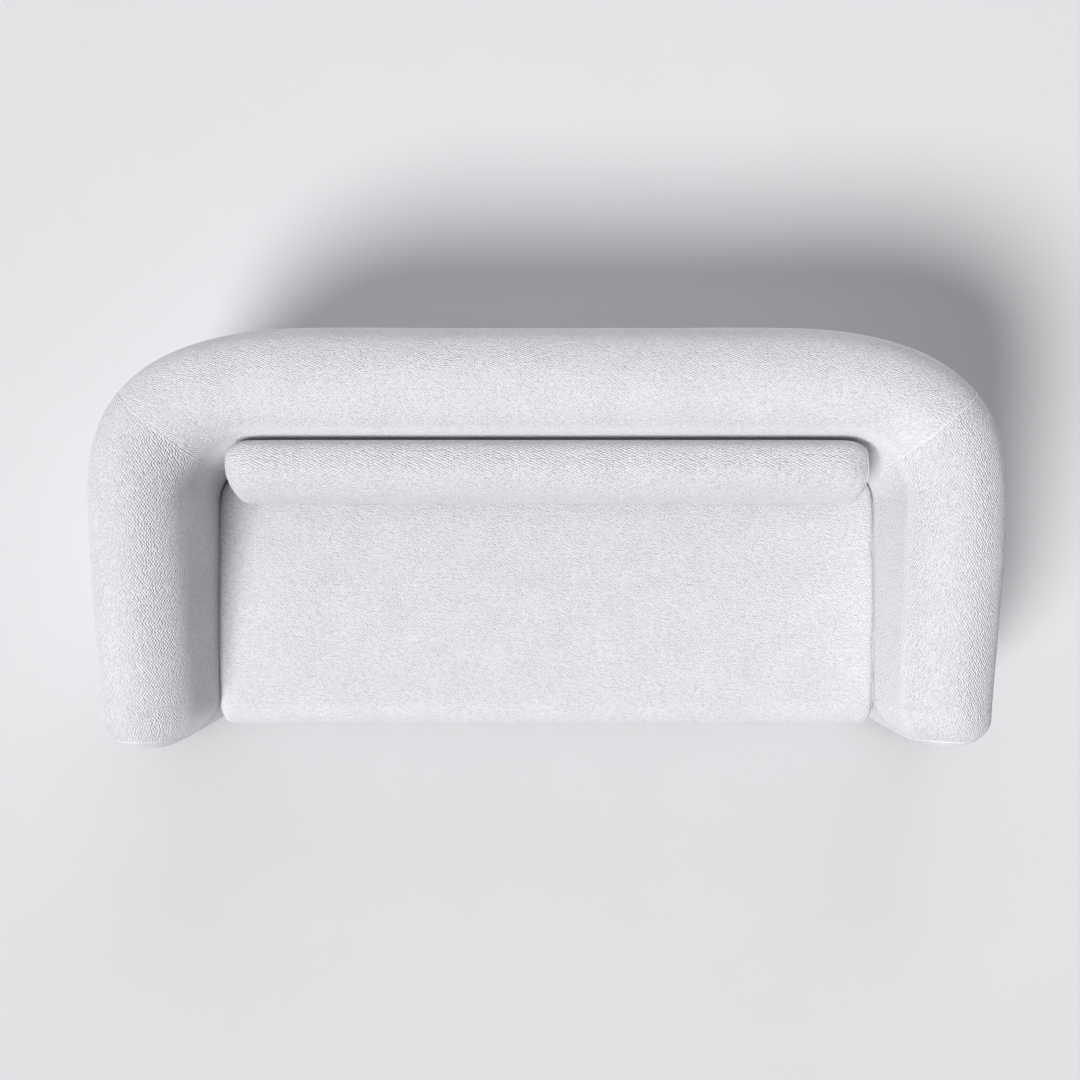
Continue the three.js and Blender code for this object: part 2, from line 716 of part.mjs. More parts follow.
for (const k of each(crosswiseStrapCount)) {
  const crossings = each(lengthwiseStrapCount).map((i) => ({ position: strapX(i), side: -sideOf(i, k) }));
  const geometry = strap(
    borderRadius / 2 - frameX,
    frameX - borderRadius / 2,
    crossings,
    (along, across, z) => at(along, strapY(k) + across, z),
  );
  add(`seat_strap_crosswise_${k + 1}`, geometry, 'webbing');
}

// Deck cloth over the webbing, and the padded front border that laps over the front rail

const lapY = frontRailBack;
const deckShape = new THREE.Shape();
deckShape.moveTo(frameX, lapY + seatGap);
deckShape.absarc(cornerX, cornerY, blockRadius, 0, Math.PI / 2, false);
deckShape.absarc(-cornerX, cornerY, blockRadius, Math.PI / 2, Math.PI, false);
deckShape.lineTo(-frameX, lapY + seatGap);
add('seat_deck_cloth', extruded(deckShape, deckBottom, deckTop), 'liner');

const borderFoamY = frontRailY - seatGap - borderFoam;
const borderFrontY = borderFoamY - seatGap - coverThickness;
const borderArcSteps = 4;

// The border's profile at a depth under its surface: up the front, round the top edge and back over the rail
function borderProfile(depth) {
  const radius = borderRadius - depth;
  const [y, z] = [borderFrontY + borderRadius, deckTop - borderRadius];
  const profile = [[borderFrontY + depth, coverFoot]];
  for (const i of each(borderArcSteps + 1)) {
    const angle = ((Math.PI / 2) * i) / borderArcSteps;
    profile.push([y - radius * Math.cos(angle), z + radius * Math.sin(angle)]);
  }
  profile.push([lapY, deckTop - depth]);
  return profile;
}
const acrossFront = (profile) => [-frameX, frameX].map((x) => profile.map(([y, z]) => at(x, y, z)));
add('front_border_cover', sheet(acrossFront(borderProfile(0)), acrossFront(borderProfile(coverThickness))), 'boucle');
const padProfile = [
  ...borderProfile(coverThickness + seatGap).slice(0, -2),
  [frontRailY - seatGap, deckBottom - seatGap],
  [frontRailY - seatGap, coverFoot],
];
const padOutline = padProfile.map(([y, z]) => new THREE.Vector2(y, z));
add('front_border_foam', loft(acrossFront(padProfile), padOutline, padOutline), 'foam');

// Dust cover under the whole sofa, pierced by the feet's studs

const dustStations = [0, ...domeRows.slice(0, 1), endSeamShare, ...endCoverShares.map(
  (share) => THREE.MathUtils.lerp(endSeamShare, 1, share),
)];
const dustEdge = (station, side) => {
  const w = side > 0 ? station.out : -station.into;
  const point = shellPoint(station, { w, z: 0, nw: side, nz: 0 }, coverThickness);
  return [point.x, point.y];
};
const dustDome = dustStations.map((share) => domeStation(share));
const dustHalf = [
  [frameX, borderFrontY + coverThickness],
  ...dustDome.map((station) => dustEdge(station, -1)).filter(([, y]) => y < borderFrontY),
  ...dustDome.slice(0, -1).reverse().map((station) => dustEdge(station, 1)),
  [overallWidth / 2 - coverThickness, cornerY],
  ...outerPlan(coverThickness),
];
const allFeet = [
  footPlan.front,
  footPlan.rear,
  [-footPlan.front[0], footPlan.front[1]],
  [-footPlan.rear[0], footPlan.rear[1]],
  ...centreFeet.map((y) => [0, y]),
];
add('dust_cover', cut(
  plate([...dustHalf, ...flip(dustHalf)], footHeight, dustTop),
  allFeet.map(studTool),
), 'liner');

// Feet: turned, slightly tapered, each on a steel stud that screws into the plate or rail above it

const footTop = footHeight - seatGap;
const footProfile = [
  [0, 0],
  [footBaseRadius - footChamfer, 0],
  [footBaseRadius, footChamfer],
  [footTopRadius, footTop - footChamfer],
  [footTopRadius - footChamfer, footTop],
  [studRadius, footTop],
  [studRadius, footTop + studLength - studRadius / 2],
  [studRadius / 2, footTop + studLength],
  [0, footTop + studLength],
].map(([r, z]) => new THREE.Vector2(r, z));
const footGeometry = (x, y) => {
  const lathe = new THREE.LatheGeometry(footProfile, footSides);
  lathe.deleteAttribute('uv');
  lathe.deleteAttribute('normal');
  const points = [];
  const position = lathe.getAttribute('position');
  for (let i = 0; i < position.count; i += 1) {
    points.push(at(position.getX(i) + x, position.getZ(i) + y, position.getY(i)));
  }
  const faces = [];
  for (let i = 0; i < lathe.index.count; i += 3) faces.push(Array.from(lathe.index.array.slice(i, i + 3)));
  return closedGeometry(points, faces);
};
addPair('foot_front', footGeometry(...footPlan.front), 'footWood');
addPair('foot_rear', footGeometry(...footPlan.rear), 'footWood');
add('foot_centre_front', footGeometry(0, centreFeet[0]), 'footWood');
add('foot_centre_rear', footGeometry(0, centreFeet[1]), 'footWood');

// Zips: a tape with a raised row of teeth, and a slider that straddles the teeth

// Places a section's point (along the cushion, up the face, out of the face) on a cushion's face
const onFace = (face, x, up, out) => at(
  x,
  face.middle[0] + face.up[0] * up + face.out[0] * out,
  face.middle[1] + face.up[1] * up + face.out[1] * out,
);
function alongFace(face, section, start, end) {
  const rings = [start, end].map((x) => section.map(([up, out]) => onFace(face, x, up, out)));
  const outline = section.map(([up, out]) => new THREE.Vector2(up, out));
  return loft(rings, outline, outline);
}
function rectangle(low, high) {
  return [[low[0], low[1]], [high[0], low[1]], [high[0], high[1]], [low[0], high[1]]];
}

// The slot in the cover, the tape with its teeth, and the slider at its closed end
function makeZip(face, halfLength) {
  const half = zipTapeWidth / 2;
  const inner = -cushionCover + zipRecess;
  const teeth = zipBeadWidth / 2;
  const crest = zipBeadHeight - zipRecess;
  const slot = alongFace(
    face,
    rectangle([-half - seatGap, -cutOverrun], [half + seatGap, cutOverrun]),
    -halfLength - seatGap,
    halfLength + seatGap,
  );
  const tape = alongFace(face, [
    [-half, inner],
    [half, inner],
    [half, -zipRecess],
    [teeth, -zipRecess],
    [teeth, crest],
    [-teeth, crest],
    [-teeth, -zipRecess],
    [-half, -zipRecess],
  ], -halfLength, halfLength);
  const wallLow = -zipRecess + sliderGap;
  const clear = teeth + sliderGap;
  const side = clear + sliderWall;
  const roof = crest + sliderGap;
  const top = roof + sliderWall;
  const parked = halfLength - sliderLength;
  const body = alongFace(face, [
    [-side, wallLow],
    [-clear, wallLow],
    [-clear, roof],
    [clear, roof],
    [clear, wallLow],
    [side, wallLow],
    [side, top],
    [-side, top],
  ], parked - sliderLength, parked);
  const pull = alongFace(
    face,
    rectangle([-pullWidth / 2, top - sliderWall / 2], [pullWidth / 2, top + sliderWall / 2]),
    parked - pullLength,
    parked - sliderLength / 2,
  );
  return { slot, tape, slider: fromSolid(toSolid(body).add(toSolid(pull))) };
}

// How far a rounded corner, a quarter of an ellipse, has drawn in at a distance from the end
function cornerDraw(distance, length, depth = length) {
  if (distance >= length) return 0;
  const share = 1 - Math.max(distance, 0) / length;
  return depth * (1 - Math.sqrt(1 - share ** 2));
}

// Seat cushion: one wrapped panel with a waterfall front, and a swelling end panel at each arm

const cushionEndX = armWallX - cushionSideGap;
const cushionRearY = backWallY - cushionRearGap;
const cushionTopAt = (share, drawShare) => seatHeight - cushionEndDraw * drawShare
  + cushionCrown * (1 - share ** 2);
const arcPoints = (y, z, radius, from, to, steps) => each(steps + 1).map((i) => {
  const angle = THREE.MathUtils.lerp(from, to, i / steps);
  return [y + radius * Math.cos(angle), z + radius * Math.sin(angle)];
});

// The cushion's section at a distance from its end, set in from its surface by an inset
function cushionSection(distance, inset) {
  const front = cushionFrontY + cornerDraw(distance, cushionFrontCorner) + inset;
  const rear = cushionRearY - cornerDraw(distance, cushionRearCorner) - inset;
  const drawShare = Math.max(1 - distance / cushionEndDrawLength, 0) ** 2;
  const edge = cushionTopAt(1, drawShare) - inset;
  const base = cushionBottom + inset;
  const [topRadius, baseRadius, rearRadius] = [
    cushionFrontTopRadius - inset,
    cushionFrontBaseRadius - inset,
    cushionRearRadius - inset,
  ];
  const topSteps = 6;
  const crown = each(topSteps - 1).map((i) => {
    const share = -1 + (2 * (i + 1)) / topSteps;
    const [low, high] = [front + topRadius, rear - rearRadius];
    const y = THREE.MathUtils.lerp(low, high, (share + 1) / 2);
    return [y, edge + cushionTopAt(share, drawShare) - cushionTopAt(1, drawShare)];
  });
  const bulgeZ = (edge - topRadius + base + baseRadius) / 2;
  return [
    ...arcPoints(rear - rearRadius, base + rearRadius, rearRadius, 0, -Math.PI / 2, 2),
    ...arcPoints(front + baseRadius, base + baseRadius, baseRadius, -Math.PI / 2, -Math.PI, 4),
    [front - cushionFrontBulge, bulgeZ],
    ...arcPoints(front + topRadius, edge - topRadius, topRadius, Math.PI, Math.PI / 2, 5),
    ...crown,
    ...arcPoints(rear - rearRadius, edge - rearRadius, rearRadius, Math.PI / 2, 0, 3),
  ];
}
const cushionShares = [0.02, 0.07, 0.15, 0.28, 0.5, 0.75, 1];
function cushionLoft(inset) {
  const seam = cushionEndX - cushionEndSwell - inset;
  const half = cushionShares.map((share) => {
    const x = seam - cushionEndDrawLength * (share - cushionShares[0]);
    return cushionSection(cushionEndX - x - inset, inset).map(([y, z]) => at(x, y, z));
  });
  const rim = half[0];
  const middle = rim.reduce((sum, p) => sum.add(p), at(0, 0, 0)).divideScalar(rim.length);
  const swell = [[1, 0.55], [0.7, 0.85]].map(([lift, scale]) => rim.map((p) => {
    const moved = middle.clone().lerp(p, scale);
    return moved.setX(seam + cushionEndSwell * lift);
  }));
  const right = [...swell, ...half];
  const left = right.map((ring) => ring.map((p) => at(-p.x, p.y, p.z))).reverse();
  const outline = right[0].map((p) => new THREE.Vector2(p.y, p.z));
  return loft([...right, ...left], outline, outline);
}
const cushionFace = { middle: [cushionRearY, (cushionBottom + seatHeight) / 2], up: [0, 1], out: [1, 0] };
const cushionZip = makeZip(cushionFace, cushionEndX - cushionEndDrawLength - zipEndMargin / 2);
add('seat_cushion_cover', cut(cushionLoft(0), [cushionLoft(cushionCover), cushionZip.slot]), 'boucle');
add('seat_cushion_foam', cushionLoft(cushionCover + seatGap), 'foam');
add('seat_cushion_zip', cushionZip.tape, 'zipNylon');
add('seat_zip_slider', cushionZip.slider, 'zipMetal');

// Lumbar cushion: a bolster that leans on the back and is pressed flat where it stands on the seat

const lean = { up: [Math.sin(backWallLean), Math.cos(backWallLean)], out: [-Math.cos(backWallLean), Math.sin(backWallLean)] };
const lumbarEndX = armWallX - lumbarEndGap;
const lumbarHeight = lumbarRise / Math.cos(backWallLean);

// Height of the seat under a point of the lumbar cushion
function seatTopAt(y) {
  const [low, high] = [cushionFrontY + cushionFrontTopRadius, cushionRearY - cushionRearRadius];
  const share = THREE.MathUtils.clamp(-1 + (2 * (y - low)) / (high - low), -1, 1);
  return cushionTopAt(share, 0);
}

// The bolster's section: a squared ellipse between the wall and its front, clipped at the seat
function lumbarSection(distance, inset) {
  const rearDraw = cornerDraw(distance, lumbarRearCorner, lumbarRearCornerDepth);
  const frontDraw = cornerDraw(distance, lumbarFrontCorner, lumbarFrontCornerDepth);
  const near = lumbarWallGap + rearDraw + inset;
  const far = lumbarWallGap + lumbarThickness - frontDraw - inset;
  const draw = lumbarHeight * lumbarEndDrawShare * Math.max(1 - distance / lumbarEndDrawLength, 0) ** 2;
  const top = lumbarHeight - draw - inset;
  const [a, b] = [(far - near) / 2, (top - inset) / 2];
  const [u, v] = [(far + near) / 2, top - b];
  const bend = (value) => Math.sign(value) * Math.abs(value) ** (2 / lumbarPower);
  return each(lumbarPointCount).map((i) => {
    const angle = (2 * Math.PI * (i + 1 / 2)) / lumbarPointCount;
    const [across, along] = [u + a * bend(Math.cos(angle)), v + b * bend(Math.sin(angle))];
    const y = backWallY + lean.up[0] * along + lean.out[0] * across;
    const z = seatHeight + lean.up[1] * along + lean.out[1] * across;
    return [y, Math.max(z, seatTopAt(y) + seatGap + inset)];
  });
}
const lumbarShares = [0.03, 0.12, 0.28, 0.5, 0.75, 1];
function lumbarLoft(inset) {
  const seam = lumbarEndX - lumbarEndSwell - inset;
  const half = lumbarShares.map((share) => {
    const x = seam - lumbarEndDrawLength * (share - lumbarShares[0]);
    return lumbarSection(lumbarEndX - x - inset, inset).map(([y, z]) => at(x, y, z));
  });
  const rim = half[0];
  const middle = rim.reduce((sum, p) => sum.add(p), at(0, 0, 0)).divideScalar(rim.length);
  const swell = [[1, 0.5], [0.7, 0.8]].map(([lift, scale]) => rim.map((p) => {
    const moved = middle.clone().lerp(p, scale);
    return moved.setX(seam + lumbarEndSwell * lift);
  }));
  const right = [...swell, ...half];
  const left = right.map((ring) => ring.map((p) => at(-p.x, p.y, p.z))).reverse();
  const outline = right[0].map((p) => new THREE.Vector2(p.y, p.z));
  return loft([...right, ...left], outline, outline);
}

// The zip lies on the section's facet at the lower rear rounding, clear of the wall
const zipFacet = Math.floor(lumbarPointCount * lumbarZipShare);
const lumbarFlat = lumbarSection(lumbarEndX, 0);
const [facetStart, facetEnd] = [lumbarFlat[zipFacet], lumbarFlat[zipFacet + 1]];
const facetSpan = Math.hypot(facetStart[0] - facetEnd[0], facetStart[1] - facetEnd[1]);
const facetUp = [(facetStart[0] - facetEnd[0]) / facetSpan, (facetStart[1] - facetEnd[1]) / facetSpan];
const lumbarZip = makeZip({
  middle: [(facetStart[0] + facetEnd[0]) / 2, (facetStart[1] + facetEnd[1]) / 2],
  up: facetUp,
  out: [facetUp[1], -facetUp[0]],
}, lumbarEndX - lumbarEndDrawLength - zipEndMargin / 2);
add('lumbar_cushion_cover', cut(lumbarLoft(0), [lumbarLoft(cushionCover), lumbarZip.slot]), 'boucle');
add('lumbar_cushion_filling', lumbarLoft(cushionCover + seatGap), 'foam');
add('lumbar_cushion_zip', lumbarZip.tape, 'zipNylon');
add('lumbar_zip_slider', lumbarZip.slider, 'zipMetal');

export default sofa;
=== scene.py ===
import math

import bmesh
import bpy
import numpy as np
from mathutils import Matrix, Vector
from mathutils.bvhtree import BVHTree


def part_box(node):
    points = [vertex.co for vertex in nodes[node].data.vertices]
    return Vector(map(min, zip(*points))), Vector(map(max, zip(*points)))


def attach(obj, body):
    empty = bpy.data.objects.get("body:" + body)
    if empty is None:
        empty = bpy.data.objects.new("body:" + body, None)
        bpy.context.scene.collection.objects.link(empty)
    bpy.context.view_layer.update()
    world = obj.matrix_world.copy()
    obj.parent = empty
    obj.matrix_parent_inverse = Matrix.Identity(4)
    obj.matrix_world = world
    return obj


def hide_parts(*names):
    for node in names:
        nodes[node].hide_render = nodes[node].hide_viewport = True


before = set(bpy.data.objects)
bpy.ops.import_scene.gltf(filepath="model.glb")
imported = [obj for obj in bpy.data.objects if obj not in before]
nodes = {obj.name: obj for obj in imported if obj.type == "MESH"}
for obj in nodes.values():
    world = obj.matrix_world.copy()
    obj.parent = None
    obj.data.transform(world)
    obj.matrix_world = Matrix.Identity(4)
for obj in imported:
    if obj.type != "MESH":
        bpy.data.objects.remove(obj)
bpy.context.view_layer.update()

# Sofa frame. Base plates and formers of birch plywood, rails of planed softwood, screwed and glued
# into one carcass. The curved walls between the formers are bent hardboard, stapled to their edges.


class Finish:
    """A material being made: a Principled shader with plain constants, and nodes joined to its inputs."""

    def __init__(self, name, **constants):
        self.material = bpy.data.materials.new(name)
        self.material.use_nodes = True
        self.tree = self.material.node_tree
        self.shader = self.tree.nodes["Principled BSDF"]
        for key, value in constants.items():
            self.shader.inputs[key.replace("_", " ")].default_value = value

    def node(self, kind, inputs=(), **settings):
        """Adds a node, sets its settings, and gives each input its value or joins it to a socket."""
        made = self.tree.nodes.new("ShaderNode" + kind)
        for key, value in settings.items():
            setattr(made, key, value)
        for key, value in dict(inputs).items():
            self.join(value, made.inputs[key])
        return made

    def join(self, value, socket):
        """Links a socket to another one, or gives it a value."""
        if isinstance(value, bpy.types.NodeSocket):
            self.tree.links.new(value, socket)
        else:
            socket.default_value = value

    def math(self, operation, *values):
        """The result of an operation on numbers or sockets."""
        return self.node("Math", enumerate(values), operation=operation).outputs[0]

    def place(self):
        """The place in metres in the shared frame."""
        return self.node("TexCoord").outputs["Object"]

    def noise(self, vector, scale, detail, distortion=0):
        """A cloudy pattern from 0 to 1, as finer and finer layers of noise."""
        inputs = {"Vector": vector, "Scale": scale, "Detail": detail, "Distortion": distortion}
        return self.node("TexNoise", inputs).outputs[0]

    def colour(self, value, *stops):
        """Colours the shader from a value, by a ramp with (position, colour) stops."""
        made = self.node("ValToRGB", {0: value})
        elements = made.color_ramp.elements
        elements[0].position, elements[1].position = stops[0][0], stops[-1][0]
        for place, _ in stops[1:-1]:
            elements.new(place)
        for element, (_, colour) in zip(elements, stops):
            element.color = (*colour, 1)
        self.join(made.outputs[0], self.shader.inputs["Base Color"])

    def relief(self, height, depth, strength=1.0):
        """Joins a height, in shares of a depth in metres, to the shader's normal."""
        bump = self.node("Bump", {"Height": height, "Distance": depth, "Strength": strength})
        self.join(bump.outputs[0], self.shader.inputs["Normal"])

    def coat(self, *names):
        """Puts the finish on CAD nodes."""
        for name in names:
            nodes[name].data.materials.clear()
            nodes[name].data.materials.append(self.material)


STREAK_LENGTH = 18


def wood(name, along, light, dark, grain, roughness):
    """Sawn wood: streaks along an axis (0 x, 1 y, 2 z), closer across it by their length in grains,
    with fine pores."""
    finish = Finish(name, Roughness=roughness)
    stretch = [1 / grain] * 3
    stretch[along] = 1 / (grain * STREAK_LENGTH)
    scaled = finish.node("Mapping", {"Vector": finish.place(), "Scale": stretch}).outputs[0]
    streak = finish.noise(scaled, 1, 5, 0.8)
    pores = finish.noise(scaled, 7, 2)
    tone = finish.math("MULTIPLY_ADD", pores, 0.25, streak)
    finish.colour(tone, (0.42, dark), (0.78, light))
    finish.relief(finish.math("ADD", streak, pores), 0.0004)
    return finish


PLY_GRAIN, PINE_GRAIN = 0.012, 0.007
ply_light, ply_dark = (0.62, 0.45, 0.27), (0.42, 0.28, 0.15)
pine_light, pine_dark = (0.68, 0.50, 0.28), (0.47, 0.30, 0.14)
plywood_flat = wood("birch_plywood_flat", 0, ply_light, ply_dark, PLY_GRAIN, 0.62)
plywood_upright = wood("birch_plywood_upright", 2, ply_light, ply_dark, PLY_GRAIN, 0.62)
pine_across = wood("softwood_across", 0, pine_light, pine_dark, PINE_GRAIN, 0.58)
pine_lengthwise = wood("softwood_lengthwise", 1, pine_light, pine_dark, PINE_GRAIN, 0.58)
plywood_flat.coat("arm_base_plate_left", "arm_base_plate_right", "back_base_plate")
plywood_upright.coat(*[n for n in nodes if "former" in n])
pine_across.coat("seat_rail_front", "seat_rail_rear", "back_top_rail")
pine_lengthwise.coat("seat_rail_left", "seat_rail_right", "seat_rail_centre")
pine_lengthwise.coat(*[n for n in nodes if "arm_top_rail" in n or "corner_block" in n])

hardboard = Finish("hardboard", Roughness=0.7)
board_fibre = hardboard.noise(hardboard.place(), 900, 3)
hardboard.colour(board_fibre, (0.3, (0.22, 0.13, 0.07)), (0.75, (0.33, 0.22, 0.12)))
hardboard.relief(board_fibre, 0.0003)
hardboard.coat("back_lining", "arm_lining_left", "arm_lining_right")

# Seat suspension. Elastic webbing with rubber threads, woven over and under and stapled to the rails,
# and over it a black non-woven cloth that keeps the cushion off the webbing.

webbing = Finish("elastic_webbing", Roughness=0.85)
web_wave = {"Vector": webbing.place(), "Scale": 75}
web_across = webbing.node("TexWave", web_wave, bands_direction="X").outputs[1]
web_along = webbing.node("TexWave", web_wave, bands_direction="Y").outputs[1]
web_height = webbing.math("MULTIPLY", web_across, web_along)
webbing.colour(web_height, (0.1, (0.012, 0.012, 0.013)), (0.9, (0.05, 0.047, 0.044)))
webbing.relief(web_height, 0.0006)
webbing.coat(*[n for n in nodes if "strap" in n])

liner = Finish("black_lining_cloth", Roughness=0.9)
cloth_dots = liner.node("TexVoronoi", {"Vector": liner.place(), "Scale": 420}).outputs[0]
cloth_height = liner.math("ADD", cloth_dots, liner.noise(liner.place(), 1500, 2))
liner.colour(cloth_height, (0.4, (0.008, 0.008, 0.009)), (1.0, (0.03, 0.03, 0.032)))
liner.relief(cloth_height, 0.0003)


def add_object(name, data):
    """An object with its origin at the frame's own, put into the scene."""
    made = bpy.data.objects.new(name, data)
    bpy.context.scene.collection.objects.link(made)
    return made


SHARP_ANGLE = math.radians(50)


def mesh_piece(name, points, faces, finish, body="shell"):
    """A piece from points and faces (lists of vertex numbers), smooth but for its sharp edges."""
    mesh = bpy.data.meshes.new(name)
    mesh.from_pydata(points, [], faces)
    mesh.validate()
    mesh.shade_smooth()
    mesh.set_sharp_from_angle(angle=SHARP_ANGLE)
    mesh.materials.append(finish.material)
    piece = add_object(name, mesh)
    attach(piece, body)
    return piece


def strips(first, second):
    """Four-sided faces between two equal rows of vertex numbers."""
    return np.stack([first[:-1], second[:-1], second[1:], first[1:]], -1).reshape(-1, 4)


def lay_out(mesh, layouts):
    """Gives a mesh flat layouts of its cloth (pairs, as UV maps) and shares (numbers, as attributes).
    The values are for the first points; where the mesh has twice as many, the rest take the same."""
    corner = np.zeros(len(mesh.loops), int)
    mesh.loops.foreach_get("vertex_index", corner)
    for name, values in layouts.items():
        if values.ndim > 1 and values.shape[-1] == 2:
            values = np.resize(values.reshape(-1, 2), (len(mesh.vertices), 2))
            mesh.uv_layers.new(name=name).data.foreach_set("uv", values[corner].astype(np.float32).ravel())
        else:
            values = np.resize(values.ravel(), len(mesh.vertices)).astype(np.float32)
            mesh.attributes.new(name, "FLOAT", "POINT").data.foreach_set("value", values)


def closed_shell(name, outside, inside, finish, layouts=None, tip=False):
    """A closed skin between two equal grids of points. With a tip, the last row of each grid folds on
    itself and closes without a rim."""
    rows, columns = outside.shape[:2]
    out = np.arange(rows * columns).reshape(rows, columns)
    inn = out + rows * columns
    faces = [strips(out[:-1].T, out[1:].T), strips(inn[1:].T, inn[:-1].T)]
    faces += [strips(inn[:, 0], out[:, 0]), strips(out[:, -1], inn[:, -1]), strips(out[0], inn[0])]
    if not tip:
        faces.append(strips(inn[-1], out[-1]))
    points = np.concatenate([outside.reshape(-1, 3), inside.reshape(-1, 3)])
    piece = mesh_piece(name, points.tolist(), np.concatenate(faces).tolist(), finish)
    lay_out(piece.data, layouts or {})
    return face_outward(piece)


def face_outward(piece):
    """Merges doubles and turns every face of a closed piece outwards."""
    work = bmesh.new()
    work.from_mesh(piece.data)
    bmesh.ops.remove_doubles(work, verts=work.verts, dist=1e-6)
    bmesh.ops.recalc_face_normals(work, faces=work.faces)
    if work.calc_volume(signed=True) < 0:
        bmesh.ops.reverse_faces(work, faces=work.faces)
    work.to_mesh(piece.data)
    work.free()
    return piece


DECK_HALF_WIDTH = 0.8292
DECK_FRONT, DECK_CORNER_Y, DECK_CORNER_RADIUS = -0.3995, 0.103, 0.109
STRAP_DIP, MIDDLE_DIP, STRAP_PERIOD, DECK_DROP = 0.0006, 0.0008, 0.1365, 0.0002
deck_top, deck_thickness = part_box("seat_deck_cloth")[1].z, 0.0012


def deck_surface(lower):
    """The cloth over the webbing: x is a share of a half width that a quarter circle draws in at the
    rear corners, and the height dips by a cosine between the straps."""
    share = np.linspace(-1, 1, 83)[None, :]
    turn = np.linspace(0, 1, 12)[1:] * math.pi / 2
    straight = np.linspace(DECK_FRONT, DECK_CORNER_Y, 26)
    y = np.concatenate([straight, DECK_CORNER_Y + DECK_CORNER_RADIUS * np.sin(turn)])[:, None]
    draw = np.concatenate([0 * straight, DECK_CORNER_RADIUS * (1 - np.cos(turn))])[:, None]
    x = share * (DECK_HALF_WIDTH - draw)
    dip = STRAP_DIP * (1 + np.cos(x * math.pi / STRAP_PERIOD)) * (1 - share**8)
    dip = dip + MIDDLE_DIP * (1 - share**2)
    return np.stack(np.broadcast_arrays(x, y, deck_top - DECK_DROP - dip - lower), -1)


deck = closed_shell("seat_deck", deck_surface(0), deck_surface(deck_thickness), liner)
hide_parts("seat_deck_cloth")

# Foam of the back and the arms. Sheets of cut polyurethane foam, glued over the hardboard and the
# rails, thicker on top than outside; a solid block of it makes each arm's rounded end.

foam = Finish("polyurethane_foam", Roughness=0.95)
foam_cells = foam.node("TexVoronoi", {"Vector": foam.place(), "Scale": 700}).outputs[0]
foam.colour(foam_cells, (0.0, (0.52, 0.46, 0.27)), (0.6, (0.80, 0.74, 0.52)))
foam.relief(foam_cells, 0.0008)

HALF_WIDTH, HALF_DEPTH, SEAT_HEIGHT = 1.1, 0.52, 0.425
CREST_BACK, CREST_FRONT = 0.73, 0.59
REACH_X, REACH_Y, PLAN_POWER = 0.585, 0.42, 2.64
INNER_RADIUS, MITRE = 0.11, math.radians(40)
ARM_OUT, ARM_IN, BACK_OUT, BACK_IN = 0.114, 0.156, 0.126, 0.181
ARM_LEAN, BACK_LEAN, ARM_ROLL, ARM_ROLL_Y = math.radians(9), math.radians(14), 0.127, -0.15
SLOPE_START, SLOPE_EASE = 0.146, 0.2
DOME_DEPTH, DOME_POWER, DOME_SKEW, DOME_APEX, END_SEAM = 0.1, 1.66, 0.147, 0.385, 0.5
ARM_WALL = HALF_WIDTH - ARM_OUT - ARM_IN
BACK_WALL = HALF_DEPTH - BACK_OUT - BACK_IN
CORNER_X, CORNER_Y = ARM_WALL - INNER_RADIUS, BACK_WALL - INNER_RADIUS
DOME_START = DOME_DEPTH - HALF_DEPTH
FORMER_Y = -0.39
COVER_FOOT, WALL_FOOT = 0.0523, 0.0706
COVER, SKIN_GAP = 0.003, 0.0003
SEAM_BOWS = (0.52, 0.52, 0.52, 0.7, 0.8, 0.8, 0.8, 0.8)
SHELL_STEPS = (14, 20, 36, 32, 20, 4, 14)
CREST_COLUMN = sum(SHELL_STEPS[:3])
MIRROR = np.array([-1.0, 1.0, 1.0])
SIDES = (1, "right"), (-1, "left")


def smooth_step(x, low, high):
    """Eases from 0 at low to 1 at high: t * t * (3 - 2 * t) of the share of the way t."""
    t = np.clip((x - low) / (high - low), 0, 1)
    return t * t * (3 - 2 * t)


def gathered(start, end, count, power=2.2):
    """Values from start to end that draw closer together towards the end."""
    return end + (start - end) * (1 - np.linspace(0, 1, count)) ** power


def reach_to_outer(x, y, dx, dy):
    """Distance from plan points to the squared-ellipse outer line, u**p + v**p = 1 at each corner,
    found by halving an interval 40 times."""
    near, far = np.zeros_like(x), np.full_like(x, 2 * HALF_WIDTH)
    for _ in range(40):
        middle = (near + far) / 2
        u = np.maximum(x + dx * middle - (HALF_WIDTH - REACH_X), 0) / REACH_X
        v = np.maximum(y + dy * middle - (HALF_DEPTH - REACH_Y), 0) / REACH_Y
        inside = u**PLAN_POWER + v**PLAN_POWER < 1
        near, far = np.where(inside, middle, near), np.where(inside, far, middle)
    return near


def crest_height(y):
    """Level along the back, then a parabola that eases into a straight fall along the arm."""

    def fall(d):
        return np.where(d < SLOPE_EASE, np.maximum(d, 0) ** 2 / (2 * SLOPE_EASE), d - SLOPE_EASE / 2)

    end = DOME_START - DOME_DEPTH * END_SEAM
    share = fall(SLOPE_START - y) / fall(np.array(SLOPE_START - end))
    return CREST_BACK - (CREST_BACK - CREST_FRONT) * share


def stations(x, y, turn, dome=0.0, shift=0.0):
    """Vertical planes across the shell, one row each: a place on the inner wall line, a turn of the
    outward direction, a share of the way into the arm's dome, and a sideways shift."""
    values = (np.atleast_1d(np.asarray(a, float)) for a in (x, y, turn, dome, shift))
    return np.stack(np.broadcast_arrays(*values), 1)


def arm_part(y):
    """Planes along the arm."""
    return stations(ARM_WALL, y, 0.0)


def dome_part(share):
    """Planes in the arm's end."""
    return stations(ARM_WALL, DOME_START, 0.0, share)


def corner_part(turn, shift=0.0):
    """Planes round the inner corner, a quarter circle in plan."""
    x, y = CORNER_X + INNER_RADIUS * np.cos(turn), CORNER_Y + INNER_RADIUS * np.sin(turn)
    return stations(x, y, turn, 0.0, shift)


def back_part(x):
    """Planes along the back."""
    return stations(x, BACK_WALL, math.pi / 2)


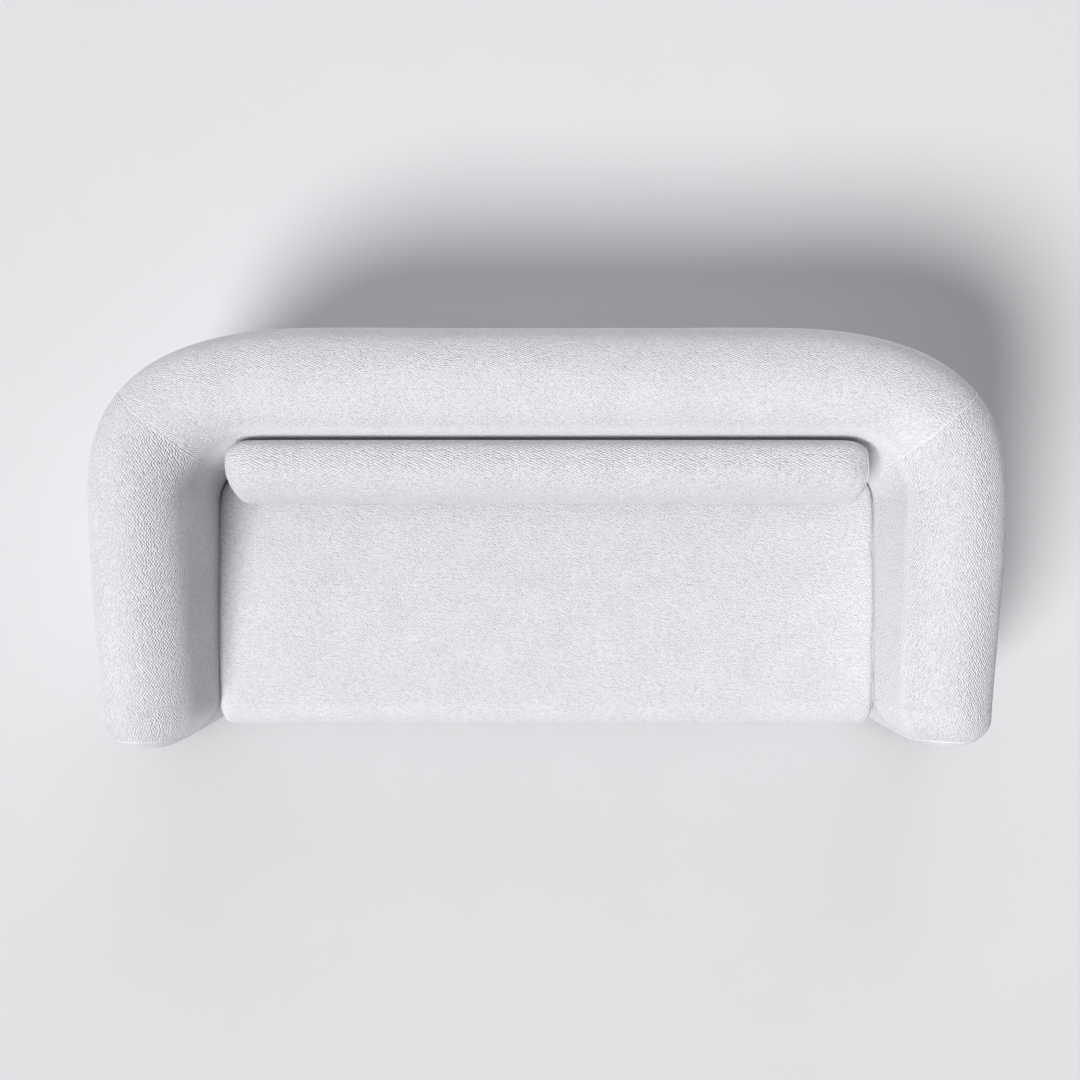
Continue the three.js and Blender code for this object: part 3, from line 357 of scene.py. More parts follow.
def shell_grid(rows, depths=(0.0, 0.0, 0.0), steps=SHELL_STEPS):
    """Points of the shell at depths below its outer, top and inner face. Columns run up the plumb
    outer wall, over a quarter circle to the crest, down a second, wider circle, a leaning wall and a
    plumb wall. Along the arm that circle turns into one of constant size, and the wall's lean follows.
    In the arm's end the width and the height above an apex shrink by a squared ellipse, and the rows
    move forward, with those at the seam bowed by shares of their own."""
    x, y, turn, dome, shift = (rows[:, i:i + 1] for i in range(5))
    dx, dy = np.cos(turn), np.sin(turn)
    back = (1 - np.cos(2 * turn)) / 2
    out = ARM_OUT + (BACK_OUT - ARM_OUT) * back
    into = reach_to_outer(x, y, dx, dy) - out
    lean = ARM_LEAN + (BACK_LEAN - ARM_LEAN) * back
    crest = crest_height(y + dy * into)
    rise = crest - SEAT_HEIGHT
    inner = (into * np.cos(lean) - rise * np.sin(lean)) / (1 - np.sin(lean))
    inner = inner + (ARM_ROLL - inner) * smooth_step(-y, -CORNER_Y, -ARM_ROLL_Y)
    lean = np.arccos(inner / np.hypot(into, rise - inner)) - np.arctan2(rise - inner, into)
    inner_foot = np.where(y + turn < FORMER_Y - SKIN_GAP / 2, COVER_FOOT, WALL_FOOT)
    shares = [np.linspace(0, 1, n + 1)[None, (0 if i == 0 else 1):] for i, n in enumerate(steps)]
    outer, top, wall = depths

    def straight(start, end, share):
        return start[0] + (end[0] - start[0]) * share, start[1] + (end[1] - start[1]) * share

    def arc(radius, turned, layer):
        reach = radius - layer
        return reach * np.cos(turned), crest - radius + reach * np.sin(turned)

    w = out - outer
    parts = [
        straight((w, COVER_FOOT), (w, DOME_APEX), shares[0]),
        straight((w, DOME_APEX), (w, crest - out), shares[1]),
        arc(out, shares[2] * math.pi / 2, outer + (top - outer) * shares[2]),
        arc(inner, math.pi / 2 + shares[3] * (math.pi / 2 - lean), top),
    ]
    arc_end = tuple(p[:, -1:] for p in parts[-1])
    seat_end = (wall - into, SEAT_HEIGHT - wall * np.tan(lean / 2))
    parts += [
        straight(arc_end, seat_end, shares[4]),
        straight(seat_end, (wall - into, DOME_APEX), shares[5]),
        straight((wall - into, DOME_APEX), (wall - into, inner_foot), shares[6]),
    ]
    w, z = (np.concatenate([p[i] + 0 * p[1 - i] for p in parts], 1) for i in (0, 1))
    bows = zip(SEAM_BOWS[:-1], SEAM_BOWS[1:], shares)
    seam = np.concatenate([start + (end - start) * share for start, end, share in bows], 1)
    dome = np.where(dome < END_SEAM, dome * seam / END_SEAM, 1 - (1 - dome) * (1 - seam) / (1 - END_SEAM))
    scale = np.maximum(1 - dome**DOME_POWER, 0) ** (1 / DOME_POWER)
    w = w * scale
    z = np.where((dome > 0) & (z > DOME_APEX), DOME_APEX + (z - DOME_APEX) * scale, z)
    fade = np.clip((FORMER_Y - y) / (FORMER_Y - DOME_START), 0, 1)
    forward = (DOME_DEPTH - outer) * dome + DOME_SKEW * w * fade
    plan = into + w
    return np.stack([x + dx * plan - dy * shift, y + dy * plan + dx * shift - forward, z], -1)


def both_halves(grid):
    """A grid from the mitre to the middle of the back, carried on as its mirror image."""
    return np.concatenate([grid, (grid * MIRROR)[-2::-1]])


def closed_loft(name, rings, finish, body="shell"):
    """A solid through closed rings of points, with a fan of faces at each end."""
    count, size = rings.shape[:2]
    points = np.concatenate([rings.reshape(-1, 3), rings[[0, -1]].mean(1)])
    grid = np.arange(count * size).reshape(count, size)
    grid = np.concatenate([grid, grid[:, :1]], 1)
    faces = strips(grid[:-1].T, grid[1:].T).tolist()
    for row, hub in ((grid[0], count * size), (grid[-1], count * size + 1)):
        faces += np.stack([row[:-1], row[1:], np.full(size, hub)], -1).tolist()
    return face_outward(mesh_piece(name, points.tolist(), faces, finish, body))


def foam_pad(piece, node):
    """Hides the CAD node that a block or sheet of foam stands for; the piece is not used."""
    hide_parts(node)


FOAM_STEPS = (3, 5, 10, 9, 4, 1, 3)
foam_face = (COVER + SKIN_GAP,) * 3
foam_back = tuple(COVER + SKIN_GAP + t for t in (0.030, 0.045, 0.050))
back_foam_rows = np.concatenate(
    [corner_part(np.linspace(MITRE, math.pi / 2, 10)), back_part(np.linspace(CORNER_X, 0, 14)[1:])]
)
back_foam = [both_halves(shell_grid(back_foam_rows, d, FOAM_STEPS)) for d in (foam_face, foam_back)]
foam_pad(closed_shell("back_foam_pad", *back_foam, foam), "back_foam")
arm_foam_rows = np.concatenate(
    [arm_part(np.linspace(FORMER_Y, CORNER_Y, 12)), corner_part(np.linspace(0, MITRE, 8)[1:])]
)
end_pad_shares = np.array([0, 0.2, 0.4, 0.5, 0.62, 0.73, 0.82, 0.89, 0.94, 0.97, 0.99, 1.0])
end_pad_rows = np.concatenate([arm_part(FORMER_Y - SKIN_GAP), dome_part(end_pad_shares)])
for side, word in SIDES:
    flip = np.array([side, 1.0, 1.0])
    pad = [shell_grid(arm_foam_rows, d, FOAM_STEPS) * flip for d in (foam_face, foam_back)]
    foam_pad(closed_shell(f"arm_foam_{word}_pad", *pad, foam), "arm_foam_" + word)
    block = shell_grid(end_pad_rows, foam_face, FOAM_STEPS) * flip
    foam_pad(closed_loft(f"arm_end_foam_{word}_pad", block, foam), "arm_end_foam_" + word)

# Covers of the back and the arms. A thick off-white bouclé with a diamond lattice of slubby yarn,
# sewn from five panels: a back, two arms and two rounded arm ends, with seams like thin ridges.

WALL_RELIEF, MEAN_HEIGHT = 0.65, 1.15


def boucle(name, across, along, relief):
    """Bouclé: a diamond lattice of soft knots, one diamond across wide and along long, over slubs and
    fine fibres. Its grain lies flat in plan on top and follows the wall on the sides, where the
    stretched cloth keeps only a share of its relief."""
    yarn = Finish(name, Roughness=0.92, Sheen_Weight=0.2, Sheen_Roughness=0.45, Specular_IOR_Level=0.2)

    def knots(layer):
        """Height of the cloth on one of its layouts."""
        place = yarn.node("UVMap", uv_map=layer).outputs[0]
        warp = yarn.node("TexNoise", {"Vector": place, "Scale": 26, "Detail": 2}).outputs[1]
        shift = yarn.node("VectorMath", {0: warp, 1: (0.004, 0.004, 0)}, operation="MULTIPLY").outputs[0]
        moved = yarn.node("VectorMath", {0: place, 1: shift}, operation="ADD").outputs[0]
        diagonals = []
        for slope in (1, -1):
            slant = {0: moved, 1: (1 / across, slope / along, 0)}
            diagonals.append(yarn.node("VectorMath", slant, operation="DOT_PRODUCT").outputs[1])
        cell = yarn.node("CombineXYZ", enumerate(diagonals)).outputs[0]
        knot = yarn.node(
            "TexVoronoi",
            {"Vector": cell, "Scale": 1, "Randomness": 0.4, "Smoothness": 0.12},
            feature="SMOOTH_F1",
            voronoi_dimensions="2D",
        )
        stretched = yarn.node("VectorMath", {0: moved, 1: (62, 150, 1)}, operation="MULTIPLY").outputs[0]
        slub = yarn.noise(stretched, 1, 2)
        fibre = yarn.noise(place, 600, 3)
        depth = yarn.math("MULTIPLY_ADD", yarn.noise(place, 11, 2), 1.2, 1.2)
        single = yarn.node("SeparateColor", {0: knot.outputs[1]}).outputs[0]
        round_top = yarn.math("MULTIPLY_ADD", yarn.math("SUBTRACT", 0.42, knot.outputs[0]), depth, 0.42)
        height = yarn.math("MULTIPLY_ADD", slub, 1.2, round_top)
        height = yarn.math("MULTIPLY_ADD", single, 0.35, height)
        return yarn.math("MULTIPLY_ADD", fibre, 0.3, height)

    share = yarn.node("Attribute", attribute_name="wall_share").outputs["Fac"]
    wall = yarn.math("MULTIPLY_ADD", knots("wall"), WALL_RELIEF, MEAN_HEIGHT * (1 - WALL_RELIEF))
    height = yarn.node("Mix", {0: share, 2: knots("grain"), 3: wall}).outputs[0]
    # The colour follows the cloth's height: painted shade darkens the grooves between knots and a painted
    # highlight lightens the knot tops, over random tone from slubs, knots and fibres.
    knot_shade_and_highlight_tones = (0.34, (0.70, 0.69, 0.70)), (0.60, (0.81, 0.80, 0.835)), (0.80, (0.92, 0.91, 0.95))
    yarn.colour(yarn.math("MULTIPLY", height, 0.5), *knot_shade_and_highlight_tones)
    yarn.relief(height, relief, 0.7)
    return yarn


back_cloth = boucle("boucle_back", 0.0113, 0.0055, 0.0034)
arm_cloth = boucle("boucle_arms", 0.0104, 0.0070, 0.0046)
# The seam ridges are near white, whiter than the bouclé they are folded from: partly the thread's own pale
# tone and partly a painted highlight for the light the ridges catch.
seam_thread_with_painted_highlight = Finish("seam_thread_with_painted_highlight", Roughness=0.85, Sheen_Weight=0.2)
thread_twist = seam_thread_with_painted_highlight.noise(seam_thread_with_painted_highlight.place(), 320, 2)
seam_thread_with_painted_highlight.colour(thread_twist, (0.3, (0.93, 0.93, 0.95)), (0.7, (0.98, 0.98, 1.0)))
seam_thread_with_painted_highlight.relief(thread_twist, 0.0006)
SEAM_RADIUS, SEAM_GAP, SEAM_DEPTH, SEAM_WIDTH = 0.0013, 0.00015, 0.0011, 0.0045
PUCKER_DEPTH, PUCKER_LENGTH, PUCKER_FADE = 0.00035, 0.021, 0.012


def relaxed(grid, seams):
    """Moves the face of a cover along its normals: broad waves of a millimetre, calmer down the inner
    wall, and at each seam (a row) a groove with small puckers that die away within two centimetres."""
    along_row, along_column = np.gradient(grid, axis=0), np.gradient(grid, axis=1)
    normal = np.cross(along_row, along_column)
    normal /= np.maximum(np.linalg.norm(normal, axis=2, keepdims=True), 1e-9)
    normal *= np.sign(normal[:, CREST_COLUMN, 2].mean())
    x, y, z = np.moveaxis(grid, 2, 0)
    wave = 0.0007 * np.sin(9.1 * x + 4.3 * z + 1.0) * np.sin(7.7 * y - 5.2 * z + 0.4)
    wave = wave + 0.0004 * np.sin(17.3 * x - 11.9 * y + 2.1) * np.sin(15.1 * z + 6.7 * x)
    wave = wave * (1 - 0.8 * smooth_step(np.arange(grid.shape[1]), CREST_COLUMN + 12, CREST_COLUMN + 40))
    v = np.cumsum(np.linalg.norm(along_column, axis=2), 1)
    for row in seams:
        distance = np.linalg.norm(grid - grid[row], axis=2)
        pucker = np.sin(2 * math.pi * v / PUCKER_LENGTH + 1.7 * np.sin(v * 37))
        pucker = pucker * np.exp(-distance / PUCKER_FADE) * smooth_step(distance, 0.001, 0.004)
        wave = wave - SEAM_DEPTH * np.exp(-((distance / SEAM_WIDTH) ** 2)) + PUCKER_DEPTH * pucker
    return grid + normal * wave[..., None]


def lengths_along(grid, axis):
    """Lengths from the start of every line of points that runs along an axis."""
    step = np.linalg.norm(np.diff(grid, axis=axis), axis=-1)
    return np.cumsum(np.insert(step, 0, 0, axis=axis), axis=axis)


def cloth_layouts(rows, grid, lengthwise):
    """The cover laid flat in two ways, in metres. In plan: the crest's place plus the length round the
    section. On the walls: the length along each column and round the section. With them goes the share
    of wall, nought over the crest."""
    u, v = lengths_along(grid, 0), lengths_along(grid, 1)
    v = v[:, CREST_COLUMN:CREST_COLUMN + 1] - v
    outward = np.stack([np.cos(rows[:, 2]), np.sin(rows[:, 2])], -1)[:, None]
    plan = grid[:, CREST_COLUMN:CREST_COLUMN + 1, :2] + v[..., None] * outward
    column = np.arange(grid.shape[1])[None, :]
    outside = smooth_step(column, CREST_COLUMN - 20, CREST_COLUMN - 34)
    share = np.maximum(outside, smooth_step(column, CREST_COLUMN + 22, CREST_COLUMN + 34))
    plan = plan[..., ::-1] if lengthwise else plan
    return plan, np.stack([u, v], -1), np.broadcast_to(share, v.shape)


def cloth_panel(piece, node):
    """Hides the CAD node that a cover over foam or filling stands for; the piece is not used."""
    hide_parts(node)


def seam_cord(name, path, sideways, radius, body="shell", closed=False):
    """A thin round ridge of folded cloth and thread, eight points round at each place of a path; the
    ring stands square to the path, which lies in a plane with the given normal."""
    ends = (path[-2:-1], path[1:2]) if closed else (2 * path[:1] - path[1:2], 2 * path[-1:] - path[-2:-1])
    whole = np.concatenate([ends[0], path, ends[1]])
    forward = whole[2:] - whole[:-2]
    forward /= np.linalg.norm(forward, axis=1, keepdims=True)
    sideways = np.broadcast_to(np.array(sideways, float), path.shape)
    up = np.cross(forward, sideways)
    up /= np.linalg.norm(up, axis=1, keepdims=True)
    angle = (np.arange(8) * math.pi / 4)[None, :, None]
    rings = path[:, None] + radius * (np.cos(angle) * up[:, None] + np.sin(angle) * sideways[:, None])
    closed_loft(name, rings, seam_thread_with_painted_highlight, body)


turn_back = gathered(math.pi / 2, MITRE, 24)[::-1]
back_corner = corner_part(turn_back, np.where(turn_back == MITRE, SEAM_GAP, 0))
back_rows = np.concatenate([back_corner, back_part(np.linspace(CORNER_X, 0, 66)[1:])])
turn_arm = gathered(0, MITRE, 20)[1:]
arm_rows = np.concatenate(
    [
        dome_part(gathered(0, END_SEAM, 10)[::-1]),
        arm_part(np.linspace(DOME_START, FORMER_Y - SKIN_GAP, 4)[1:]),
        arm_part(np.linspace(FORMER_Y, CORNER_Y, 46)),
        corner_part(turn_arm, np.where(turn_arm == MITRE, -SEAM_GAP, 0)),
    ]
)
arm_rows[0, 4] = SEAM_GAP
nose = 1 - (1 - END_SEAM) * (1 - np.linspace(0, 1, 30)) ** 1.9
end_rows = dome_part(np.concatenate([gathered(0.62, END_SEAM, 9)[::-1], nose[nose > 0.63]]))
end_rows[0, 4] = -SEAM_GAP

INSIDE_WAVES, LEFT_ARM_SHIFT = 0.6, 0.37
back_flat = shell_grid(back_rows)
back_face = relaxed(back_flat, [0])
back_inside = shell_grid(back_rows, (COVER,) * 3) + INSIDE_WAVES * (back_face - back_flat)
plan, wall, share = cloth_layouts(back_rows, back_flat, False)
aside = np.array([-1.0, 1.0])
layouts = {
    "grain": np.concatenate([plan, (plan * aside)[-2::-1]]),
    "wall": np.concatenate([wall, ([2, 0] * wall[-1:] + wall * aside)[-2::-1]]),
    "wall_share": np.concatenate([share, share[-2::-1]]),
}
back_grids = both_halves(back_face), both_halves(back_inside)
cloth_panel(closed_shell("back_panel", *back_grids, back_cloth, layouts=layouts), "back_cover")
arm_flat, end_flat = shell_grid(arm_rows), shell_grid(end_rows)
arm_face, end_face = relaxed(arm_flat, [0, -1]), relaxed(end_flat, [0])
arm_inside = shell_grid(arm_rows, (COVER,) * 3) + INSIDE_WAVES * (arm_face - arm_flat)
end_inside = shell_grid(end_rows, (COVER,) * 3)
mitre_path = relaxed(back_flat, [])[0]
end_path = 0.4 * arm_face[0] + 0.6 * relaxed(arm_flat, [])[0]
for side, word in SIDES:
    flip = np.array([side, 1.0, 1.0])
    for name, face, inside, rows, flat, tip in (
        ("arm_panel_", arm_face, arm_inside, arm_rows, arm_flat, False),
        ("arm_end_panel_", end_face, end_inside, end_rows, end_flat, True),
    ):
        plan, wall, share = cloth_layouts(rows, flat, True)
        share = np.ones_like(share) if tip else share
        wall = wall + LEFT_ARM_SHIFT * (side < 0)
        layouts = {"grain": plan * [1, side], "wall": wall, "wall_share": share}
        panel = closed_shell(name + word, face * flip, inside * flip, arm_cloth, layouts=layouts, tip=tip)
        cloth_panel(panel, ("arm_end_cover_" if tip else "arm_cover_") + word)
    mitre_normal = (-side * math.sin(MITRE), math.cos(MITRE), 0)
    seam_cord(f"mitre_seam_{word}", mitre_path * flip, mitre_normal, SEAM_RADIUS)
    seam_cord(f"arm_end_seam_{word}", end_path * flip, (0, 1, 0), SEAM_RADIUS)

# Front border. A strip of the same bouclé over a thin foam pad, from the dust cover up the front
# rail, round its top edge and back under the seat cushion, where it is stapled.

BORDER_FRONT, BORDER_RADIUS, BORDER_BACK, BORDER_HALF = -0.4456, 0.018, -0.4, 0.8294
BORDER_TOP, BORDER_FOLD, RAIL_FACE, RAIL_TOP = 0.2317, 0.024, -0.4283, 0.2284


def border_profile(depth):
    """Up the front, round a quarter circle and back over the rail, at a depth under the face."""
    turn = np.linspace(0, math.pi / 2, 10)
    y = BORDER_FRONT + BORDER_RADIUS - (BORDER_RADIUS - depth) * np.cos(turn)
    z = BORDER_TOP - BORDER_RADIUS + (BORDER_RADIUS - depth) * np.sin(turn)
    up = np.linspace(COVER_FOOT, z[0], 22)[:-1]
    back = np.linspace(y[-1], BORDER_BACK, 5)[1:]
    y = np.concatenate([np.full(21, y[0]), y, back])
    return y, np.concatenate([up, z, np.full(4, z[-1])])


def across_front(profile, half, count):
    """A profile of y and z carried along x from -half to half."""
    x = np.linspace(-half, half, count)[:, None]
    return np.stack(np.broadcast_arrays(x, *profile), -1)


def folded(grid):
    """Turns both ends of the strip back towards the rail."""
    turn_in = np.array([0, BORDER_FOLD, 0])
    return np.concatenate([grid[:1] + turn_in, grid, grid[-1:] + turn_in])


border_face, border_inside = (
    folded(across_front(border_profile(d), BORDER_HALF - d, 188)) for d in (0, COVER)
)
x, z = border_face[..., 0], border_face[..., 2]
drop = 0.0007 * np.sin(13 * x + 0.8) * np.sin(21 * z + 5 * x) * smooth_step(0.23 - z, 0, 0.03)
border_face = border_face - drop[..., None] * [0, 1, 0]
flat_border = np.stack([x, lengths_along(border_face, 1)], -1)
layouts = {"grain": flat_border, "wall": flat_border, "wall_share": np.ones_like(x)}
border = closed_shell("front_border_panel", border_face, border_inside, back_cloth, layouts=layouts)
cloth_panel(border, "front_border_cover")
pad_y, pad_z = border_profile(COVER + SKIN_GAP)
pad = (np.append(pad_y[:30], [RAIL_FACE, RAIL_FACE]), np.append(pad_z[:30], [RAIL_TOP, COVER_FOOT]))
pad_rings = across_front(pad, BORDER_HALF - COVER - SKIN_GAP, 12)
foam_pad(closed_loft("front_border_pad", pad_rings, foam), "front_border_foam")

# Dust cover. One piece of black non-woven cloth, stapled under the whole frame, with a slight sag
# between the rails. The feet screw through it.

DUST_LOW, DUST_THICKNESS, DUST_SAG, SAG_END, DENSE_FROM = 0.0506, 0.0012, 0.0025, 0.8, 0.81
share = np.linspace(0, 1, 30)
scale = (1 - share**DOME_POWER) ** (1 / DOME_POWER)
nose_w = np.concatenate([(COVER - ARM_IN) * scale, ((ARM_OUT - COVER) * scale)[-2::-1]])
nose_share = np.concatenate([share, share[-2::-1]])
nose_y = DOME_START - (DOME_DEPTH - COVER) * nose_share - DOME_SKEW * nose_w
x = np.concatenate([np.linspace(0, DENSE_FROM, 20)[:-1], np.linspace(DENSE_FROM, HALF_WIDTH - COVER, 40)])
x = np.concatenate([-x[:0:-1], x])
front = np.where(np.abs(x) > BORDER_HALF, np.interp(np.abs(x), ARM_WALL + ARM_IN + nose_w, nose_y), 0)
front = np.minimum(front, BORDER_FRONT + COVER)
u = np.clip((np.abs(x) - (HALF_WIDTH - REACH_X)) / (REACH_X - COVER), 0, 1)
rear = HALF_DEPTH - REACH_Y + (REACH_Y - COVER) * (1 - u**PLAN_POWER) ** (1 / PLAN_POWER)
depth_share = np.linspace(0, 1, 24)
y = front[:, None] + (rear - front)[:, None] * depth_share[None, :]
x = np.broadcast_to(x[:, None], y.shape)
sag_share = np.clip(np.abs(x) / SAG_END, 0, 1)
sag = DUST_SAG * np.sin(math.pi * sag_share) ** 2 * np.sin(math.pi * depth_share) ** 2
under = np.stack([x, y, DUST_LOW - sag], -1)
dust = closed_shell("dust_cover_cloth", under + [0, 0, DUST_THICKNESS], under, liner)
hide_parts("dust_cover")

# Feet. Six low turned feet of beech stained near black, each with a steel stud that screws into the
# frame and a felt glide underneath.

foot_wood = wood("stained_beech", 2, (0.035, 0.022, 0.016), (0.014, 0.009, 0.007), 0.006, 0.38)
steel = Finish("zinc_steel", Roughness=0.35, Metallic=1.0)
steel_tone = steel.noise(steel.place(), 240, 3)
steel.colour(steel_tone, (0.3, (0.45, 0.45, 0.46)), (0.7, (0.62, 0.62, 0.63)))
felt = Finish("grey_felt", Roughness=0.95)
felt_hair = felt.noise(felt.place(), 1400, 3)
felt.colour(felt_hair, (0.3, (0.06, 0.06, 0.065)), (0.7, (0.14, 0.14, 0.15)))
felt.relief(felt_hair, 0.0004)


def turned(name, x, y, profile, finish):
    """A profile of (radius, height) pairs carried once round an upright axis, 56 points round."""
    angle = (np.arange(56) * 2 * math.pi / 56)[None, :]
    r, z = (np.array(p)[:, None] for p in zip(*profile))
    rings = np.stack(np.broadcast_arrays(x + r * np.cos(angle), y + r * np.sin(angle), z), -1)
    return closed_loft(name, rings, finish)


feet = {
    "foot_front_left": (-0.96, -0.34),
    "foot_front_right": (0.96, -0.34),
    "foot_rear_left": (-0.89, 0.37),
    "foot_rear_right": (0.89, 0.37),
    "foot_centre_front": (0, -0.34),
    "foot_centre_rear": (0, 0.12),
}
foot_profile = [(0.0205, 0.002), (0.0235, 0.0025), (0.0248, 0.0045), (0.0262, 0.013), (0.0285, 0.027)]
foot_profile += [(0.0308, 0.041), (0.0317, 0.0465), (0.0313, 0.0487), (0.0295, 0.0497)]
stud_profile = [(0.004, 0.0492), (0.004, 0.0735), (0.002, 0.0757)]
for name, (x, y) in feet.items():
    foot = turned(name + "_turned", x, y, foot_profile, foot_wood)
    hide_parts(name)
    turned(name + "_stud", x, y, stud_profile, steel)
    turned(name + "_glide", x, y, [(0.0195, 0.0), (0.0205, 0.0006), (0.0205, 0.0022)], felt)

# Seat cushion. One long bench cushion: a foam block in the same bouclé, wrapped from under the rear
# over the top to a soft waterfall front, with a panel sewn in at each end and a zip along the rear.

seat_cloth = boucle("boucle_seat", 0.0104, 0.0053, 0.0030)
SEAT_END, SEAT_REAR, SEAT_FRONT, SEAT_BASE = 0.8306, 0.205, -0.462, 0.232
CROWN, SEAT_DRAW, DRAW_LENGTH, END_SWELL, BULGE = 0.012, 0.006, 0.12, 0.0012, 0.006
TOP_RADIUS, BASE_RADIUS, REAR_RADIUS, FRONT_CORNER, REAR_CORNER = 0.07, 0.04, 0.026, 0.03, 0.107
SEAT_SWELL, SEAT_VOXEL, SEAT_CORD, SEAT_CORD_INSET, FOAM_INSET = 0.006, 0.008, 0.0016, 0.012, 0.011
SEAT_SEAM, SEAT_START = SEAT_END - END_SWELL, 17


def corner_draw(distance, length, depth, inset):
    """How far a rounded corner has drawn in at a distance from the end: a quarter of an ellipse with
    the half axes depth and length, both made smaller by an inset."""
    return (depth - inset) * (1 - np.sqrt(1 - (1 - np.clip(distance / (length - inset), 0, 1)) ** 2))


def seat_section(distance, inset, side=1):
    """The seat cushion's closed section at distances from its end, the same at both sides: rounded
    corners, a bulging front face and a crowned top, all set in by an inset."""
    front = SEAT_FRONT + corner_draw(distance, FRONT_CORNER, FRONT_CORNER, inset) + inset
    rear = SEAT_REAR - corner_draw(distance, REAR_CORNER, REAR_CORNER, inset) - inset
    draw = np.maximum(1 - distance / DRAW_LENGTH, 0) ** 2
    edge, base = SEAT_HEIGHT - SEAT_DRAW * draw - inset, SEAT_BASE + inset + 0 * distance
    top_r, base_r, rear_r = TOP_RADIUS - inset, BASE_RADIUS - inset, max(REAR_RADIUS - inset, 0.004)

    def arc(y, z, radius, start, end, count):
        """Part of a circle round y and z, from one angle to another in degrees."""
        turn = np.radians(np.linspace(start, end, count))[None, :]
        return y + radius * np.cos(turn), z + radius * np.sin(turn)

    share = np.linspace(-1, 1, 44)[None, 1:-1]
    low, high = front + top_r, rear - rear_r
    top = (low + (high - low) * (share + 1) / 2, edge + CROWN * (1 - share**2))
    rise = np.linspace(0, 1, 9)[None, 1:-1]
    face = (front - BULGE * np.sin(math.pi * rise), base + base_r + (edge - top_r - base - base_r) * rise)
    back_to_front = np.linspace(0, 1, 24)[None, 1:-1]
    floor = (rear - rear_r + (front + base_r - rear + rear_r) * back_to_front, base + 0 * back_to_front)
    behind = (rear + 0 * rise, edge - rear_r + (base + rear_r - edge + rear_r) * rise)
    parts = [
        arc(rear - rear_r, base + rear_r, rear_r, 0, -90, 6),
        floor,
        arc(front + base_r, base + base_r, base_r, -90, -180, 9),
        face,
        arc(front + top_r, edge - top_r, top_r, 180, 90, 12),
        top,
        arc(rear - rear_r, edge - rear_r, rear_r, 90, 0, 6),
        behind,
    ]
    return np.stack([np.concatenate([part[i] + 0 * distance for part in parts], 1) for i in (0, 1)], -1)


def cushion_rings(section, end, corner, swell, inset):
    """Rings along a cushion: closer together towards each end, then shrinking over a swelling end,
    which stands out by swell * (1 - scale**3) where the ring has shrunk to a scale."""
    seam = end - swell - inset
    back = corner * np.concatenate([np.linspace(0, 1, 14) ** 1.6, np.linspace(1, seam / corner, 40)[1:]])
    distance = (swell + back + 0.02 * corner)[:, None]
    scale = np.array([0.25, 0.45, 0.62, 0.76, 0.87, 0.95])[:, None, None]
    halves = []
    for side in (1, -1):
        section_yz = section(distance, inset, side)
        x = np.broadcast_to((seam - back)[:, None, None], section_yz.shape[:2] + (1,))
        half = np.concatenate([x, section_yz], 2)
        middle = half[:1].mean(1, keepdims=True)
        closing = middle + (half[:1] - middle) * scale
        closing[..., 0] = seam + swell * (1 - scale[..., 0] ** 3)
        halves.append(np.concatenate([closing, half]))
    return np.concatenate([halves[0], (halves[1] * MIRROR)[-2::-1]])


def applied(piece):
    """Makes the piece's modifiers part of its mesh."""
    mesh = bpy.data.meshes.new_from_object(piece.evaluated_get(bpy.context.evaluated_depsgraph_get()))
    piece.modifiers.clear()
    piece.data = mesh


def places(mesh):
    """The points of a mesh, one row each."""
    out = np.zeros(len(mesh.vertices) * 3)
    mesh.vertices.foreach_get("co", out)
    return out.reshape(-1, 3)


PRESSURE, FRAMES, DRAW_IN = 4.0, 20, 0.001


def puffed(piece, voxel, swell):
    """Remeshes a cushion in voxels and swells it along its normals. A cloth under pressure, whose
    points move no further than the swell, then shows where the cover draws in at its edges, and each
    point follows it by at most DRAW_IN."""
    remesh = piece.modifiers.new("voxels", "REMESH")
    remesh.mode, remesh.voxel_size = "VOXEL", voxel
    applied(piece)
    start = places(piece.data)
    normal = np.zeros(len(start) * 3)
    piece.data.vertices.foreach_get("normal", normal)
    full = start + normal.reshape(-1, 3) * swell
    cloth = piece.modifiers.new("cloth", "CLOTH")
    cloth.settings.use_pressure = True
    cloth.settings.uniform_pressure_force = PRESSURE
    cloth.settings.effector_weights.gravity = 0
    for number in range(1, FRAMES + 1):
        bpy.context.scene.frame_set(number)
    applied(piece)
    bpy.context.scene.frame_set(1)
    move = places(piece.data) - start
    length = np.linalg.norm(move, axis=1, keepdims=True)
    draw = start + move * np.minimum(1, swell / np.maximum(length, 1e-9)) - full
    length = np.maximum(np.linalg.norm(draw, axis=1, keepdims=True), 1e-9)
    return full + draw * DRAW_IN * (1 - np.exp(-length / DRAW_IN)) / length


def round_length(points, section):
    """Length round a closed section, from its first point, of the nearest place to each point."""
    loop = np.concatenate([section, section[:1]])
    step = np.diff(loop, axis=0)
    size = np.linalg.norm(step, axis=1)
    length = np.concatenate([[0], np.cumsum(size)])[:-1]
    result = []
    for block in np.array_split(points, max(1, len(points) // 4000)):
        nearest = ((block[:, None] - section[None]) ** 2).sum(2).argmin(1)
        forward = step[nearest] / size[nearest][:, None]
        result.append(length[nearest] + ((block - section[nearest]) * forward).sum(1))
    return np.concatenate(result)


def finish_cushion(piece, points, section, start, seam, cloth):
    """Sets the points, lays the cloth out round the section, from a start underneath (the number of
    one of its points), and flat over the ends, and subdivides."""
    mesh = piece.data
    mesh.vertices.foreach_set("co", points.ravel())
    lengths = round_length(points[:, 1:], np.roll(section, -start, axis=0))
    grain = np.stack([points[:, 0], lengths], -1)
    ends = smooth_step(np.abs(points[:, 0]), seam - 0.002, seam + 0.002)
    lay_out(mesh, {"grain": grain, "wall": points[:, 1:], "wall_share": ends})
    mesh.materials.clear()
    mesh.materials.append(cloth.material)
    mesh.shade_smooth()
    finer = piece.modifiers.new("finer", "SUBSURF")
    finer.levels = finer.render_levels = 1
    applied(piece)


